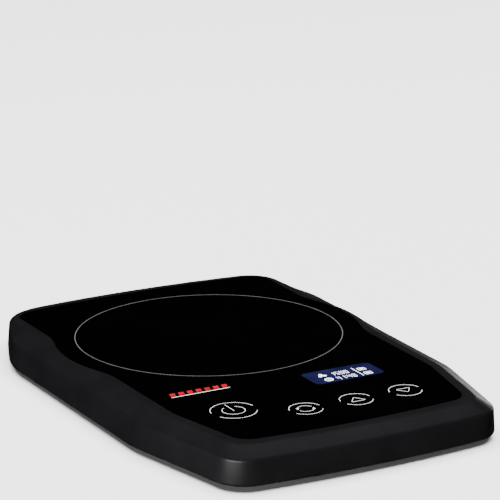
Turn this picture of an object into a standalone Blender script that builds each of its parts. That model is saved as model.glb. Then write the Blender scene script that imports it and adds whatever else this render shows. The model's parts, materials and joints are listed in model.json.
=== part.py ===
"""A slim magnetic stirrer: a glass-topped plate that spins a pair of magnets under a printed ring.

Lengths are in metres. +Z is up, the controls are at -Y, and the origin is the centre of the
footprint at the level that the feet stand on. The stirring axis is vertical, at STIR_Y.
"""

import math
from collections import namedtuple

import bmesh
import bpy
from mathutils import Vector

MM = 0.001
GAP = 0.3 * MM
CHIP_LOOK = "chip_black"
CONNECTOR_LOOK = "connector_white"

# Levels, measured up from the surface that the feet stand on
CASE_BOTTOM = 2.8 * MM
BASE_RECESS = 0.3 * MM
BASE_THICK = 2.2 * MM
GLASS_TOP = 18.0 * MM
GLASS_THICK = 3.0 * MM
GASKET_THICK = 0.6 * MM
LEDGE_THICK = 1.6 * MM
RIM_DROP = 0.4 * MM
RIM_DROP_AT_SWELL = 1.05 * MM
SWELL_DROP_GAIN = 1.3
SHOULDER_DROP = 3.9 * MM

# Plan outlines, as (x, y) on the +X side, measured from the stirring axis
STIR_Y = 28.0 * MM
Section = namedtuple("Section", "front front_corner front_round kink kink_round "
                     "rear_kink rear_kink_round rear_corner rear_round rear swell")
GLASS = Section(-134.0, (52.5, -130.9), 9.0, (61.6, -88.5), 30.0,
                (64.2, 50.0), 60.0, (64.5, 71.0), 9.5, 75.3, 69.2)
RIM = Section(-138.6, (56.6, -135.2), 10.0, (66.0, -88.8), 34.0,
              (68.4, 46.0), 60.0, (67.6, 74.2), 15.0, 79.0, 72.8)
SHOULDER = Section(-146.2, (61.6, -142.7), 13.0, (74.3, -84.0), 60.0,
                   (77.2, 44.0), 50.0, (61.6, 85.9), 26.0, 90.2, 0.0)
BOTTOM = Section(-146.4, (62.9, -142.8), 16.0, (76.5, -78.8), 40.0,
                 (78.8, 44.0), 50.0, (62.4, 86.3), 26.0, 90.4, 0.0)
SWELL_BLEND = 3.0
INNER_FLARE = 0.45 * MM
WALL_THICK = 2.2 * MM
BOTTOM_ROUND = 1.2 * MM
BOTTOM_ROUND_STEPS = [(0.0, 1.0), (0.3, 0.3), (0.9, 0.0)]
RIM_INSET = 0.4 * MM
CORNER_STEPS = 5
CROWN_STEPS = 3
BOW_GAP = 2.0
SWELL_STEPS = 6
SWELL_HALF_ANGLE = math.radians(30)
STATION_GAP = math.radians(0.8)
ALONG_SLACK = 1e-3
LEDGE_WIDTH = 5.0 * MM
POCKET_WALL = 1.9 * MM
GLASS_CHAMFER = 0.4 * MM
GASKET_INSETS = (0.6 * MM, 4.4 * MM)

# Fasteners that close the case, from below
CASE_SCREWS = [(34.0 * MM, -139.6 * MM), (68.6 * MM, -50.0 * MM), (34.0 * MM, 82.6 * MM)]
BOSS_R = 3.2 * MM
BOSS_TOP = 14.9 * MM
SCREW_HEAD_R = 2.4 * MM
SCREW_HEAD_H = 1.2 * MM
SCREW_SHANK_R = 1.2 * MM
SCREW_LENGTH = 8.0 * MM
COUNTERBORE = 1.5 * MM
PILOT_FLOOR = 0.8 * MM

# Feet
FOOT_R = 7.0 * MM
FOOT_TOP_SINK = 0.5 * MM
FOOT_STEP_DOWN = 0.2 * MM
FOOT_TAPER = 0.3 * MM
FOOT_EDGE = 0.5 * MM
FOOT_PLACES = {"front_left": (-50.0, -92.0), "front_right": (50.0, -92.0),
               "rear_left": (-52.0, 84.0), "rear_right": (52.0, 84.0)}

# Vent slots in the base, either side of the motor
VENT_X = 44.0 * MM
VENT_PITCH = 5.0 * MM
VENT_COUNT = 4
VENT_SIZE = (2.0 * MM, 26.0 * MM)

# Control board, under the front of the glass; a part's size and place are in millimetres
BOARD_THICK = 1.6 * MM
CONTROL_SIZE = (96.0 * MM, 58.0 * MM)
CONTROL_AT = (0.0, -69.0 * MM)
CONTROL_Z = 8.3 * MM
CONTROL_SCREWS = [(-45.0, -94.0), (45.0, -94.0), (-45.0, -44.0), (45.0, -44.0)]
BOARD_BOSS_R = 2.7 * MM
BOARD_SCREW_R = 1.0 * MM
BOARD_SCREW_HEAD_R = 1.9 * MM
BOARD_SCREW_HEAD_H = 1.1 * MM
DISPLAY_AT = (23.5 * MM, -51.8 * MM)
DISPLAY_SIZE = (35.0 * MM, 16.4 * MM)
DISPLAY_THICK = 1.5 * MM
DISPLAY_FRAME_WALL = 1.4 * MM
TOUCH_PADS = {"power": (-38.7, -69.5, 8.0), "mode": (-12.1, -82.4, 6.0),
              "up": (11.7, -82.6, 6.0), "down": (35.3, -82.9, 6.0)}
TOUCH_PAD_HOLE_R = 3.0 * MM
CONTROL_SCREW_LENGTH = 5.0 * MM
POWER_SCREW_LENGTH = 4.0 * MM
CONNECTOR_SIZE = (11.0, 5.0, 2.6)
CONTROL_PARTS = {"microcontroller": ((10.0, 10.0, 1.2), (-10.0, -56.0), CHIP_LOOK),
                 "touch_chip": ((6.0, 6.0, 1.2), (0.0, -70.0), CHIP_LOOK),
                 "control_connector": (CONNECTOR_SIZE, (-34.0, -44.0), CONNECTOR_LOOK)}
BUZZER = (4.5 * MM, 3.0 * MM, (-24.0 * MM, -54.0 * MM))
CAPACITOR = (3.1 * MM, 4.6 * MM, (-14.0 * MM, 92.0 * MM))
CAN_EDGE = 0.3 * MM
POWER_PARTS = {"power_connector": (CONNECTOR_SIZE, (-34.0, 89.0), CONNECTOR_LOOK),
               "inductor": ((8.0, 8.0, 3.6), (18.0, 92.0), CHIP_LOOK),
               "driver_chip": ((7.0, 7.0, 1.2), (2.0, 92.0), CHIP_LOOK)}
CHIP_BEVEL = 0.25 * MM

# Power board, DC inlet and the flat cable between the boards
POWER_SIZE = (76.0 * MM, 19.0 * MM)
POWER_AT = (-4.0 * MM, 93.5 * MM)
POWER_Z = 7.3 * MM
POWER_SCREWS = [(-38.0, 100.0), (30.0, 100.0)]
JACK_X = 0.0
JACK_Z = 9.3 * MM
JACK_BODY = (9.0 * MM, 7.6 * MM, 6.6 * MM)
JACK_BODY_REAR = 113.4 * MM
JACK_COLLAR_R = 3.7 * MM
JACK_FACE = 118.1 * MM
JACK_BORE_R = 3.0 * MM
JACK_BORE_DEPTH = 8.4 * MM
JACK_PIN_R = 1.0 * MM
JACK_PIN_RECESS = 4.8 * MM
JACK_PIN_NOSE = 0.4 * MM
CABLE_X = -34.0 * MM
CABLE_WIDTH = 9.0 * MM
CABLE_THICK = 0.6 * MM
CABLE_IN_CONNECTOR = 1.2 * MM

# Motor: a flat outrunner, its plate on three bosses of the base
MOTOR_PLATE_R = 26.0 * MM
MOTOR_PLATE = (6.4 * MM, 7.6 * MM)
MOTOR_SCREW_CIRCLE = 22.0 * MM
MOTOR_SCREW_COUNT = 3
MOTOR_SCREW_LENGTH = 3.4 * MM
SLEEVE_R = 4.9 * MM
SLEEVE_BORE_R = 4.0 * MM
SLEEVE = (6.0 * MM, 11.8 * MM)
SLEEVE_FLANGE = (7.9 * MM, 8.3 * MM, 6.0 * MM)
BEARING_R = 3.7 * MM
BEARING_H = 1.9 * MM
BEARING_FLOORS = {"lower_bearing": 7.4 * MM, "upper_bearing": 9.7 * MM}
STATOR = (9.2 * MM, 11.2 * MM)
STATOR_HUB_R = 6.2 * MM
STATOR_HOLE_R = 5.2 * MM
STATOR_R = 14.0 * MM
STATOR_TIP_R = 12.4 * MM
TEETH = 6
TOOTH_WIDTH = 2.4 * MM
TIP_HALF_ANGLE = math.radians(22)
COIL_SPAN = (6.6 * MM, 11.9 * MM)
COIL_WIRE = 0.9 * MM

# Rotor, on the stirring axis
SHAFT_R = 1.5 * MM
SHAFT = (6.2 * MM, 14.0 * MM)
CUP_R = 17.5 * MM
CUP_SKIRT = 1.2 * MM
CUP = (8.6 * MM, 14.2 * MM)
CUP_TOP_THICK = 1.0 * MM
CUP_HUB = (4.2 * MM, 12.2 * MM)
MAGNET_RING = (14.5 * MM, 16.0 * MM, 8.8 * MM, 12.8 * MM)
CARRIER = (17.8 * MM, 30.5 * MM, 12.4 * MM, 14.5 * MM)
DRIVE_MAGNET_R = 4.9 * MM
DRIVE_MAGNET_CIRCLE = 24.2 * MM
DRIVE_MAGNET_FLOOR = 0.5 * MM
SMALL_EDGE = 0.2 * MM
CUP_EDGE = 0.4 * MM

ROUND_STEPS = 24
SMALL_STEPS = 12

BASE_BOTTOM = CASE_BOTTOM + BASE_RECESS
BASE_TOP = BASE_BOTTOM + BASE_THICK
GLASS_BOTTOM = GLASS_TOP - GLASS_THICK
LEDGE_TOP = GLASS_BOTTOM - GASKET_THICK - 2 * GAP
LEDGE_BOTTOM = LEDGE_TOP - LEDGE_THICK
SHOULDER_Z = GLASS_TOP - SHOULDER_DROP
CONTROL_TOP = CONTROL_Z + BOARD_THICK
POWER_TOP = POWER_Z + BOARD_THICK


# ---------------------------------------------------------------- scene and materials

def clear_scene():
    for obj in list(bpy.data.objects):
        bpy.data.objects.remove(obj, do_unlink=True)


def make_collection(name):
    collection = bpy.data.collections.new(name)
    bpy.context.scene.collection.children.link(collection)
    return collection


def make_material(name, colour, roughness, metallic=0.0):
    material = bpy.data.materials.new(name)
    material.use_nodes = True
    shader = material.node_tree.nodes["Principled BSDF"]
    shader.inputs["Base Color"].default_value = (*colour, 1.0)
    shader.inputs["Roughness"].default_value = roughness
    shader.inputs["Metallic"].default_value = metallic
    return material


clear_scene()
PARTS = make_collection("magnetic_stirrer")
CUTTERS = make_collection("cutters")

CASE_BLACK = make_material("case_black", (0.016, 0.016, 0.019), 0.42)
GLASS_BLACK = make_material("glass_black", (0.002, 0.002, 0.003), 0.04)
RUBBER = make_material("rubber", (0.02, 0.02, 0.02), 0.85)
FOAM = make_material("foam", (0.05, 0.05, 0.055), 0.95)
STEEL = make_material("steel", (0.62, 0.62, 0.64), 0.3, 1.0)
ZINC = make_material("zinc", (0.55, 0.57, 0.6), 0.35, 1.0)
BRASS = make_material("brass", (0.72, 0.54, 0.25), 0.3, 1.0)
BOARD_GREEN = make_material("board_green", (0.01, 0.12, 0.05), 0.4)
CHIP_BLACK = make_material("chip_black", (0.02, 0.02, 0.022), 0.5)
CONNECTOR_WHITE = make_material("connector_white", (0.75, 0.73, 0.68), 0.5)
DISPLAY_BLUE = make_material("display_blue", (0.01, 0.02, 0.12), 0.1)
CABLE_GREY = make_material("cable_grey", (0.45, 0.45, 0.47), 0.6)
COPPER = make_material("copper", (0.8, 0.36, 0.16), 0.35, 1.0)
LAMINATION = make_material("lamination", (0.3, 0.3, 0.32), 0.45, 1.0)
MAGNET = make_material("magnet", (0.5, 0.5, 0.52), 0.25, 1.0)
CARRIER_WHITE = make_material("carrier_white", (0.6, 0.6, 0.58), 0.5)


# ---------------------------------------------------------------- modelling helpers

def add_object(name, mesh, material, collection=None):
    obj = bpy.data.objects.new(name, mesh)
    (collection or PARTS).objects.link(obj)
    if material:
        mesh.materials.append(material)
    return obj


def mesh_from(name, bm):
    bmesh.ops.recalc_face_normals(bm, faces=bm.faces)
    mesh = bpy.data.meshes.new(name)
    bm.to_mesh(mesh)
    bm.free()
    return mesh


def smooth(obj, degrees=35):
    obj.data.shade_smooth()
    obj.data.set_sharp_from_angle(angle=math.radians(degrees))


def box_mesh(name, size):
    bm = bmesh.new()
    bmesh.ops.create_cube(bm, size=1.0)
    bmesh.ops.scale(bm, vec=Vector(size), verts=bm.verts)
    return mesh_from(name, bm)


def cylinder_mesh(name, radius, height, steps):
    bm = bmesh.new()
    bmesh.ops.create_cone(bm, cap_ends=True, segments=steps, radius1=radius, radius2=radius, depth=height)
    return mesh_from(name, bm)


def add_bevel(obj, width, segments=1):
    bevel = obj.modifiers.new("edge_round", "BEVEL")
    bevel.width = width
    bevel.segments = segments
    bevel.limit_method = "ANGLE"
    return bevel


def block(name, size, at, material, bevel=0.0):
    """A box whose place is the centre of its underside."""
    obj = add_object(name, box_mesh(name, size), material)
    obj.location = (at[0], at[1], at[2] + size[2] / 2)
    if bevel:
        add_bevel(obj, bevel)
    return obj


def as_cutter(obj):
    obj.hide_render = True
    obj.display_type = "WIRE"
    return obj


def cut_cylinder(name, at, radius, low, high, steps=SMALL_STEPS, lying=False):
    """A round cutter: upright between two levels, or lying along Y between two places."""
    obj = add_object(name, cylinder_mesh(name, radius, high - low, steps), None, CUTTERS)
    middle = (low + high) / 2
    if lying:
        obj.location = (at[0], middle, at[1])
        obj.rotation_euler = (math.pi / 2, 0, 0)
    else:
        obj.location = (at[0], at[1], middle)
    return as_cutter(obj)


def cut_box(name, size, centre):
    obj = add_object(name, box_mesh(name, size), None, CUTTERS)
    obj.location = centre
    return as_cutter(obj)


def boolean(obj, tool, operation):
    modifier = obj.modifiers.new(operation.lower() + "_" + tool.name, "BOOLEAN")
    modifier.operation = operation
    modifier.object = tool
    modifier.solver = "EXACT"
    return modifier


def turned(name, profile, at, material, steps=ROUND_STEPS, closed=False):
    """A turned piece: (radius, z) points down its outer side, from the axis back to the axis."""
    bm = bmesh.new()
    verts = [bm.verts.new((r, 0.0, z)) for r, z in profile]
    for first, second in zip(verts, verts[1:]):
        bm.edges.new((first, second))
    if closed:
        bm.edges.new((verts[-1], verts[0]))
    mesh = bpy.data.meshes.new(name)
    bm.to_mesh(mesh)
    bm.free()
    obj = add_object(name, mesh, material)
    obj.location = (at[0], at[1], 0.0)
    screw = obj.modifiers.new("turn", "SCREW")
    screw.axis = "Z"
    screw.steps = steps
    screw.render_steps = steps
    screw.use_merge_vertices = True
    screw.merge_threshold = 0.00001
    screw.use_smooth_shade = True
    return obj


def ring_profile(inner, outer, low, high):
    return [(outer, high), (outer, low), (inner, low), (inner, high)]


def screw_piece(name, at, seat, length, shank_r, head_r, head_h, material, points_down):
    """A pan-head screw whose head rests at seat; the shank points down, or up from below."""
    way = -1.0 if points_down else 1.0
    crown = seat - way * head_h
    tip = seat + way * length
    profile = [(0.0, crown), (head_r * 0.75, crown), (head_r, crown + way * head_h * 0.4),
               (head_r, seat), (shank_r, seat), (shank_r, tip - way * shank_r), (shank_r * 0.4, tip),
               (0.0, tip)]
    if not points_down:
        profile.reverse()
    return turned(name, profile, at, material, steps=SMALL_STEPS)


# ---------------------------------------------------------------- plan outlines

def fillet(before, corner, after, radius):
    """Points of the arc that rounds the corner between its two neighbours."""
    into = (Vector(before) - Vector(corner)).normalized()
    out = (Vector(after) - Vector(corner)).normalized()
    half = into.angle(out) / 2
    centre = Vector(corner) + (into + out).normalized() * radius / math.sin(half)
    start = Vector(corner) + into * radius / math.tan(half) - centre
    end = Vector(corner) + out * radius / math.tan(half) - centre
    sweep = start.angle_signed(end)
    points = []
    for step in range(CORNER_STEPS + 1):
        turn = -sweep * step / CORNER_STEPS
        points.append((centre.x + start.x * math.cos(turn) - start.y * math.sin(turn),
                       centre.y + start.x * math.sin(turn) + start.y * math.cos(turn)))
    return points


def crown(middle, corner):
    """Points of the shallow bow of an end edge, from its middle out towards its corner."""
    points = []
    for step in range(CROWN_STEPS + 1):
        share = step / (CROWN_STEPS + 1)
        points.append((corner[0] * share, middle + (corner[1] - middle) * share ** 2))
    return points


def bow_end(middle, corner, after, radius):
    """The point of an end's bow at which the rounding of its corner starts."""
    out = Vector(after) - Vector(corner)
    into = Vector((0.0, middle)) - Vector(corner)
    share = 1.0 - radius / math.tan(into.angle(out) / 2) / corner[0]
    return corner[0] * share, middle + (corner[1] - middle) * share ** 2


def half_outline(section):
    """The +X half of a section as (x, y) in millimetres from the stirring axis, front to rear."""
    front_end = bow_end(section.front, section.front_corner, section.kink, section.front_round)
    rear_end = bow_end(section.rear, section.rear_corner, section.rear_kink, section.rear_round)
    corners = [front_end, section.front_corner, section.kink, section.rear_kink, section.rear_corner, rear_end]
    rounds = [section.front_round, section.kink_round, section.rear_kink_round, section.rear_round]
    points = []
    for index, radius in enumerate(rounds, start=1):
        points += fillet(corners[index - 1], corners[index], corners[index + 1], radius)
    front = crown(section.front, section.front_corner)
    front = [point for point in front if point[0] < points[0][0] - BOW_GAP]
    rear = crown(section.rear, section.rear_corner)
    rear = [point for point in rear if point[0] < points[-1][0] - BOW_GAP]
    return front + points + rear[::-1]


def reach(outline, bearing):
    """Distance from the stirring axis to the outline; bearing 0 looks to the front, pi to the rear."""
    way = Vector((math.sin(bearing), -math.cos(bearing)))
    for first, second in zip(outline, outline[1:]):
        edge = Vector(second) - Vector(first)
        cross = way.x * edge.y - way.y * edge.x
        if abs(cross) < 1e-9:
            continue
        along = (first[0] * way.y - first[1] * way.x) / cross
        if -ALONG_SLACK <= along <= 1.0 + ALONG_SLACK:
            distance = (first[0] * edge.y - first[1] * edge.x) / cross
            if distance > 0:
                return distance
    return Vector(outline[-1]).length


def smooth_max(first, second, blend):
    near = max(blend - abs(first - second), 0.0) / blend
    return max(first, second) + near * near * blend / 4


def swell_share(section, outline, bearing):
    """How far the round swell carries the section past its straight side, in millimetres."""
    straight = reach(outline, bearing)
    if not section.swell:
        return straight, 0.0
    swollen = smooth_max(straight, section.swell, SWELL_BLEND)
    return swollen, swollen - straight


def bearings():
    """One set of bearings for every section, close together where any section turns."""
    found = {0.0, math.pi}
    for section in (GLASS, RIM, SHOULDER, BOTTOM):
        for x, y in half_outline(section):
            found.add(round(math.atan2(x, -y), 6))
    for step in range(-SWELL_STEPS, SWELL_STEPS + 1):
        found.add(math.pi / 2 + SWELL_HALF_ANGLE * step / SWELL_STEPS)
    kept = []
    for bearing in sorted(found):
        if not kept or bearing - kept[-1] > STATION_GAP:
            kept.append(bearing)
    kept[-1] = math.pi
    return kept


BEARINGS = bearings()


def section_ring(section, level, swell_drop=0.0):
    """The closed ring of points of a section, in metres in the model's frame."""
    outline = half_outline(section)
    half = []
    deepest = max(swell_share(section, outline, bearing)[1] for bearing in BEARINGS)
    for bearing in BEARINGS:
        distance, swollen = swell_share(section, outline, bearing)
        drop = swell_drop * min(swollen / deepest * SWELL_DROP_GAIN, 1.0) if deepest else 0.0
        half.append(Vector((math.sin(bearing) * distance * MM,
                            STIR_Y - math.cos(bearing) * distance * MM, level - drop)))
    mirrored = [Vector((-p.x, p.y, p.z)) for p in half[-2:0:-1]]
    return half + mirrored


def offset(ring, distance, level=None):
    """The ring moved outward in plan by a distance (inward if negative), and set to a level if given."""
    moved = []
    for index, point in enumerate(ring):
        before = ring[index - 1]
        after = ring[(index + 1) % len(ring)]
        along = Vector((after.x - before.x, after.y - before.y)).normalized()
        height = point.z if level is None else level
        moved.append(Vector((point.x + along.y * distance, point.y - along.x * distance, height)))
    return moved


def loft(name, rings, closes_on_itself):
    """Faces between neighbouring rings; the ends are capped, or the last ring joins the first."""
    bm = bmesh.new()
    loops = [[bm.verts.new(point) for point in ring] for ring in rings]
    count = len(rings[0])
    pairs = list(zip(loops, loops[1:]))
    if closes_on_itself:
        pairs.append((loops[-1], loops[0]))
    for lower, upper in pairs:
        for index in range(count):
            after = (index + 1) % count
            bm.faces.new((lower[index], lower[after], upper[after], upper[index]))
    if not closes_on_itself:
        bm.faces.new(loops[0][::-1])
        bm.faces.new(loops[-1])
    return mesh_from(name, bm)


GLASS_RING = section_ring(GLASS, GLASS_TOP)
RIM_RING = section_ring(RIM, GLASS_TOP - RIM_DROP, RIM_DROP_AT_SWELL - RIM_DROP)
SHOULDER_RING = section_ring(SHOULDER, SHOULDER_Z)
BOTTOM_RING = section_ring(BOTTOM, CASE_BOTTOM)


# ---------------------------------------------------------------- case

def both_sides(places):
    return [(x * side, STIR_Y + y) for x, y in places for side in (-1, 1)]


def make_top_housing():
    """The moulded upper shell: glass pocket and ledge, rim, sloping shoulder and wall."""
    pocket = offset(GLASS_RING, GAP)
    pocket_back = POCKET_WALL + GAP
    rings = [
        offset(GLASS_RING, -LEDGE_WIDTH, LEDGE_TOP),
        offset(GLASS_RING, GAP, LEDGE_TOP),
        pocket,
        RIM_RING,
        SHOULDER_RING,
        *[offset(BOTTOM_RING, -BOTTOM_ROUND * inward, CASE_BOTTOM + BOTTOM_ROUND * up)
          for inward, up in BOTTOM_ROUND_STEPS],
        offset(SHOULDER_RING, INNER_FLARE - WALL_THICK, CASE_BOTTOM),
        offset(SHOULDER_RING, -WALL_THICK, SHOULDER_Z - WALL_THICK),
        offset(RIM_RING, -RIM_INSET, GLASS_BOTTOM),
        offset(GLASS_RING, pocket_back, GLASS_BOTTOM - GAP),
        offset(GLASS_RING, pocket_back, LEDGE_BOTTOM),
        offset(GLASS_RING, -LEDGE_WIDTH, LEDGE_BOTTOM),
    ]
    housing = add_object("top_housing", loft("top_housing", rings, True), CASE_BLACK)
    for index, place in enumerate(both_sides(CASE_SCREWS), start=1):
        boss = cut_cylinder(f"boss_{index}", place, BOSS_R, BASE_TOP + GAP, BOSS_TOP)
        hole = cut_cylinder(f"boss_hole_{index}", place, SCREW_SHANK_R + GAP, BASE_TOP - MM,
                            BASE_BOTTOM + COUNTERBORE + SCREW_LENGTH + GAP)
        boolean(housing, boss, "UNION")
        boolean(housing, hole, "DIFFERENCE")
    inlet = cut_cylinder("inlet_hole", (JACK_X, JACK_Z), JACK_COLLAR_R + GAP,
                         JACK_BODY_REAR - MM, JACK_FACE + 3 * MM, ROUND_STEPS, lying=True)
    boolean(housing, inlet, "DIFFERENCE")
    smooth(housing)
    return housing


def make_glass_plate():
    rings = [offset(GLASS_RING, 0.0, GLASS_BOTTOM),
             offset(GLASS_RING, 0.0, GLASS_TOP - GLASS_CHAMFER),
             offset(GLASS_RING, -GLASS_CHAMFER, GLASS_TOP)]
    plate = add_object("glass_plate", loft("glass_plate", rings, False), GLASS_BLACK)
    smooth(plate)
    return plate


def make_glass_gasket():
    """The foam strip between the ledge and the glass."""
    low = LEDGE_TOP + GAP
    high = low + GASKET_THICK
    outer, inner = GASKET_INSETS
    rings = [offset(GLASS_RING, -outer, low), offset(GLASS_RING, -outer, high),
             offset(GLASS_RING, -inner, high), offset(GLASS_RING, -inner, low)]
    return add_object("glass_gasket", loft("glass_gasket", rings, True), FOAM)


def base_bosses():
    """Place, radius, top and pilot hole of each stud that stands on the base."""
    studs = []
    for x, y in CONTROL_SCREWS:
        studs.append(((x * MM, y * MM), BOARD_BOSS_R, CONTROL_Z - GAP, BOARD_SCREW_R + GAP))
    for x, y in POWER_SCREWS:
        studs.append(((x * MM, y * MM), BOARD_BOSS_R, POWER_Z - GAP, BOARD_SCREW_R + GAP))
    for place in motor_screw_places():
        studs.append((place, BOSS_R, MOTOR_PLATE[0] - GAP, SCREW_SHANK_R + GAP))
    return studs


def make_base_plate():
    """The flat cover that closes the case from below, with its studs, vents and screw holes."""
    outer = offset(SHOULDER_RING, INNER_FLARE - WALL_THICK - GAP)
    rings = [offset(outer, 0.0, BASE_BOTTOM), offset(outer, 0.0, BASE_TOP)]
    base = add_object("base_plate", loft("base_plate", rings, False), CASE_BLACK)
    for index, (place, radius, top, pilot) in enumerate(base_bosses(), start=1):
        stud = cut_cylinder(f"stud_{index}", place, radius, BASE_TOP - MM, top)
        hole = cut_cylinder(f"stud_hole_{index}", place, pilot, BASE_BOTTOM + PILOT_FLOOR, top + MM)
        boolean(base, stud, "UNION")
        boolean(base, hole, "DIFFERENCE")
    for index, place in enumerate(both_sides(CASE_SCREWS), start=1):
        bore = cut_cylinder(f"counterbore_{index}", place, SCREW_HEAD_R + GAP, BASE_BOTTOM - MM,
                            BASE_BOTTOM + COUNTERBORE)
        hole = cut_cylinder(f"clearance_{index}", place, SCREW_SHANK_R + GAP, BASE_BOTTOM - MM, BASE_TOP + MM)
        boolean(base, bore, "DIFFERENCE")
        boolean(base, hole, "DIFFERENCE")
    for name, (x, y) in FOOT_PLACES.items():
        seat = cut_cylinder("seat_" + name, (x * MM, y * MM), FOOT_R + GAP, BASE_BOTTOM - MM,
                            BASE_BOTTOM + FOOT_TOP_SINK + GAP, ROUND_STEPS)
        boolean(base, seat, "DIFFERENCE")
    for side in (-1, 1):
        for index in range(VENT_COUNT):
            x = side * (VENT_X + VENT_PITCH * (index - (VENT_COUNT - 1) / 2))
            slot = cut_box(f"vent_{side + 1}_{index}", (*VENT_SIZE, BASE_THICK * 3), (x, STIR_Y, BASE_BOTTOM))
            boolean(base, slot, "DIFFERENCE")
    return base


def make_case_screws():
    seat = BASE_BOTTOM + COUNTERBORE - GAP
    for index, place in enumerate(both_sides(CASE_SCREWS), start=1):
        screw_piece(f"case_screw_{index}", place, seat, SCREW_LENGTH, SCREW_SHANK_R, SCREW_HEAD_R,
                    SCREW_HEAD_H - GAP, ZINC, points_down=False)


def make_feet():
    top = BASE_BOTTOM + FOOT_TOP_SINK
    low_r = FOOT_R - FOOT_TAPER
    profile = [(0.0, top), (FOOT_R, top), (FOOT_R, BASE_BOTTOM - FOOT_STEP_DOWN), (low_r, FOOT_EDGE),
               (low_r - FOOT_EDGE, 0.0), (0.0, 0.0)]
    for name, (x, y) in FOOT_PLACES.items():
        turned("foot_" + name, profile, (x * MM, y * MM), RUBBER)


# ---------------------------------------------------------------- electronics

def drilled_board(name, size, at, level, places):
    board = add_object(name, box_mesh(name, (*size, BOARD_THICK)), BOARD_GREEN)
    board.location = (*at, level + BOARD_THICK / 2)
    for index, (x, y) in enumerate(places, start=1):
        hole = cut_cylinder(f"{name}_hole_{index}", (x * MM, y * MM), BOARD_SCREW_R + GAP,
                            level - MM, level + BOARD_THICK + MM)
        boolean(board, hole, "DIFFERENCE")
    return board


def board_screws(prefix, places, seat, length):
    for index, (x, y) in enumerate(places, start=1):
        screw_piece(f"{prefix}_{index}", (x * MM, y * MM), seat + GAP, length, BOARD_SCREW_R,
                    BOARD_SCREW_HEAD_R, BOARD_SCREW_HEAD_H, ZINC, points_down=True)


def board_parts(parts, seat):
    """The block-shaped parts that stand on a board at one level."""
    for name, (size, (x, y), look) in parts.items():
        block(name, [side * MM for side in size], (x * MM, y * MM, seat), bpy.data.materials[look], CHIP_BEVEL)


def can(name, can_size, seat, material):
    """A round part on a board, with a broken top edge."""
    radius, height, at = can_size
    profile = [(0.0, seat + height), (radius - CAN_EDGE, seat + height), (radius, seat + height - CAN_EDGE),
               (radius, seat), (0.0, seat)]
    turned(name, profile, at, material)


def make_control_board():
    drilled_board("control_board", CONTROL_SIZE, CONTROL_AT, CONTROL_Z, CONTROL_SCREWS)
    board_screws("control_screw", CONTROL_SCREWS, CONTROL_TOP, CONTROL_SCREW_LENGTH)
    board_parts(CONTROL_PARTS, CONTROL_TOP + GAP)
    can("buzzer", BUZZER, CONTROL_TOP + GAP, CHIP_BLACK)


def make_display():
    """The lit panel behind the glass and the frame that holds it off the board."""
    panel_z = GLASS_BOTTOM - GAP - DISPLAY_THICK
    block("display_panel", (*DISPLAY_SIZE, DISPLAY_THICK), (*DISPLAY_AT, panel_z), DISPLAY_BLUE)
    frame_z = CONTROL_TOP + GAP
    height = panel_z - GAP - frame_z
    frame = block("display_frame", (*DISPLAY_SIZE, height), (*DISPLAY_AT, frame_z), CHIP_BLACK)
    inside = (DISPLAY_SIZE[0] - 2 * DISPLAY_FRAME_WALL, DISPLAY_SIZE[1] - 2 * DISPLAY_FRAME_WALL, height * 3)
    boolean(frame, cut_box("display_frame_inside", inside, (*DISPLAY_AT, frame_z)), "DIFFERENCE")


def make_touch_pads():
    low = CONTROL_TOP + GAP
    high = GLASS_BOTTOM - GAP
    for name, (x, y, radius) in TOUCH_PADS.items():
        profile = ring_profile(TOUCH_PAD_HOLE_R, radius * MM, low, high)
        turned("touch_pad_" + name, profile, (x * MM, y * MM), FOAM, closed=True)


def make_power_board():
    drilled_board("power_board", POWER_SIZE, POWER_AT, POWER_Z, POWER_SCREWS)
    board_screws("power_screw", POWER_SCREWS, POWER_TOP, POWER_SCREW_LENGTH)
    board_parts(POWER_PARTS, POWER_TOP + GAP)
    can("capacitor", CAPACITOR, POWER_TOP + GAP, STEEL)


def make_dc_jack():
    """The inlet socket: a block behind the wall, a round collar through it and a centre pin."""
    body_front = JACK_BODY_REAR - JACK_BODY[1]
    body = block("dc_jack_body", JACK_BODY, (JACK_X, body_front + JACK_BODY[1] / 2, JACK_Z - JACK_BODY[2] / 2),
                 CHIP_BLACK)
    collar = cut_cylinder("jack_collar", (JACK_X, JACK_Z), JACK_COLLAR_R, JACK_BODY_REAR - 0.5 * MM, JACK_FACE,
                          ROUND_STEPS, lying=True)
    bore = cut_cylinder("jack_bore", (JACK_X, JACK_Z), JACK_BORE_R, JACK_FACE - JACK_BORE_DEPTH,
                        JACK_FACE + MM, ROUND_STEPS, lying=True)
    boolean(body, collar, "UNION")
    boolean(body, bore, "DIFFERENCE")
    low = JACK_FACE - JACK_BORE_DEPTH + GAP
    high = JACK_FACE - JACK_PIN_RECESS
    half = (high - low) / 2
    profile = [(0.0, half), (JACK_PIN_R - JACK_PIN_NOSE, half), (JACK_PIN_R, half - JACK_PIN_NOSE),
               (JACK_PIN_R, -half), (0.0, -half)]
    pin = turned("dc_jack_pin", profile, (0.0, 0.0), BRASS, steps=SMALL_STEPS)
    pin.rotation_euler = (-math.pi / 2, 0, 0)
    pin.location = (JACK_X, (low + high) / 2, JACK_Z)


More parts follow.
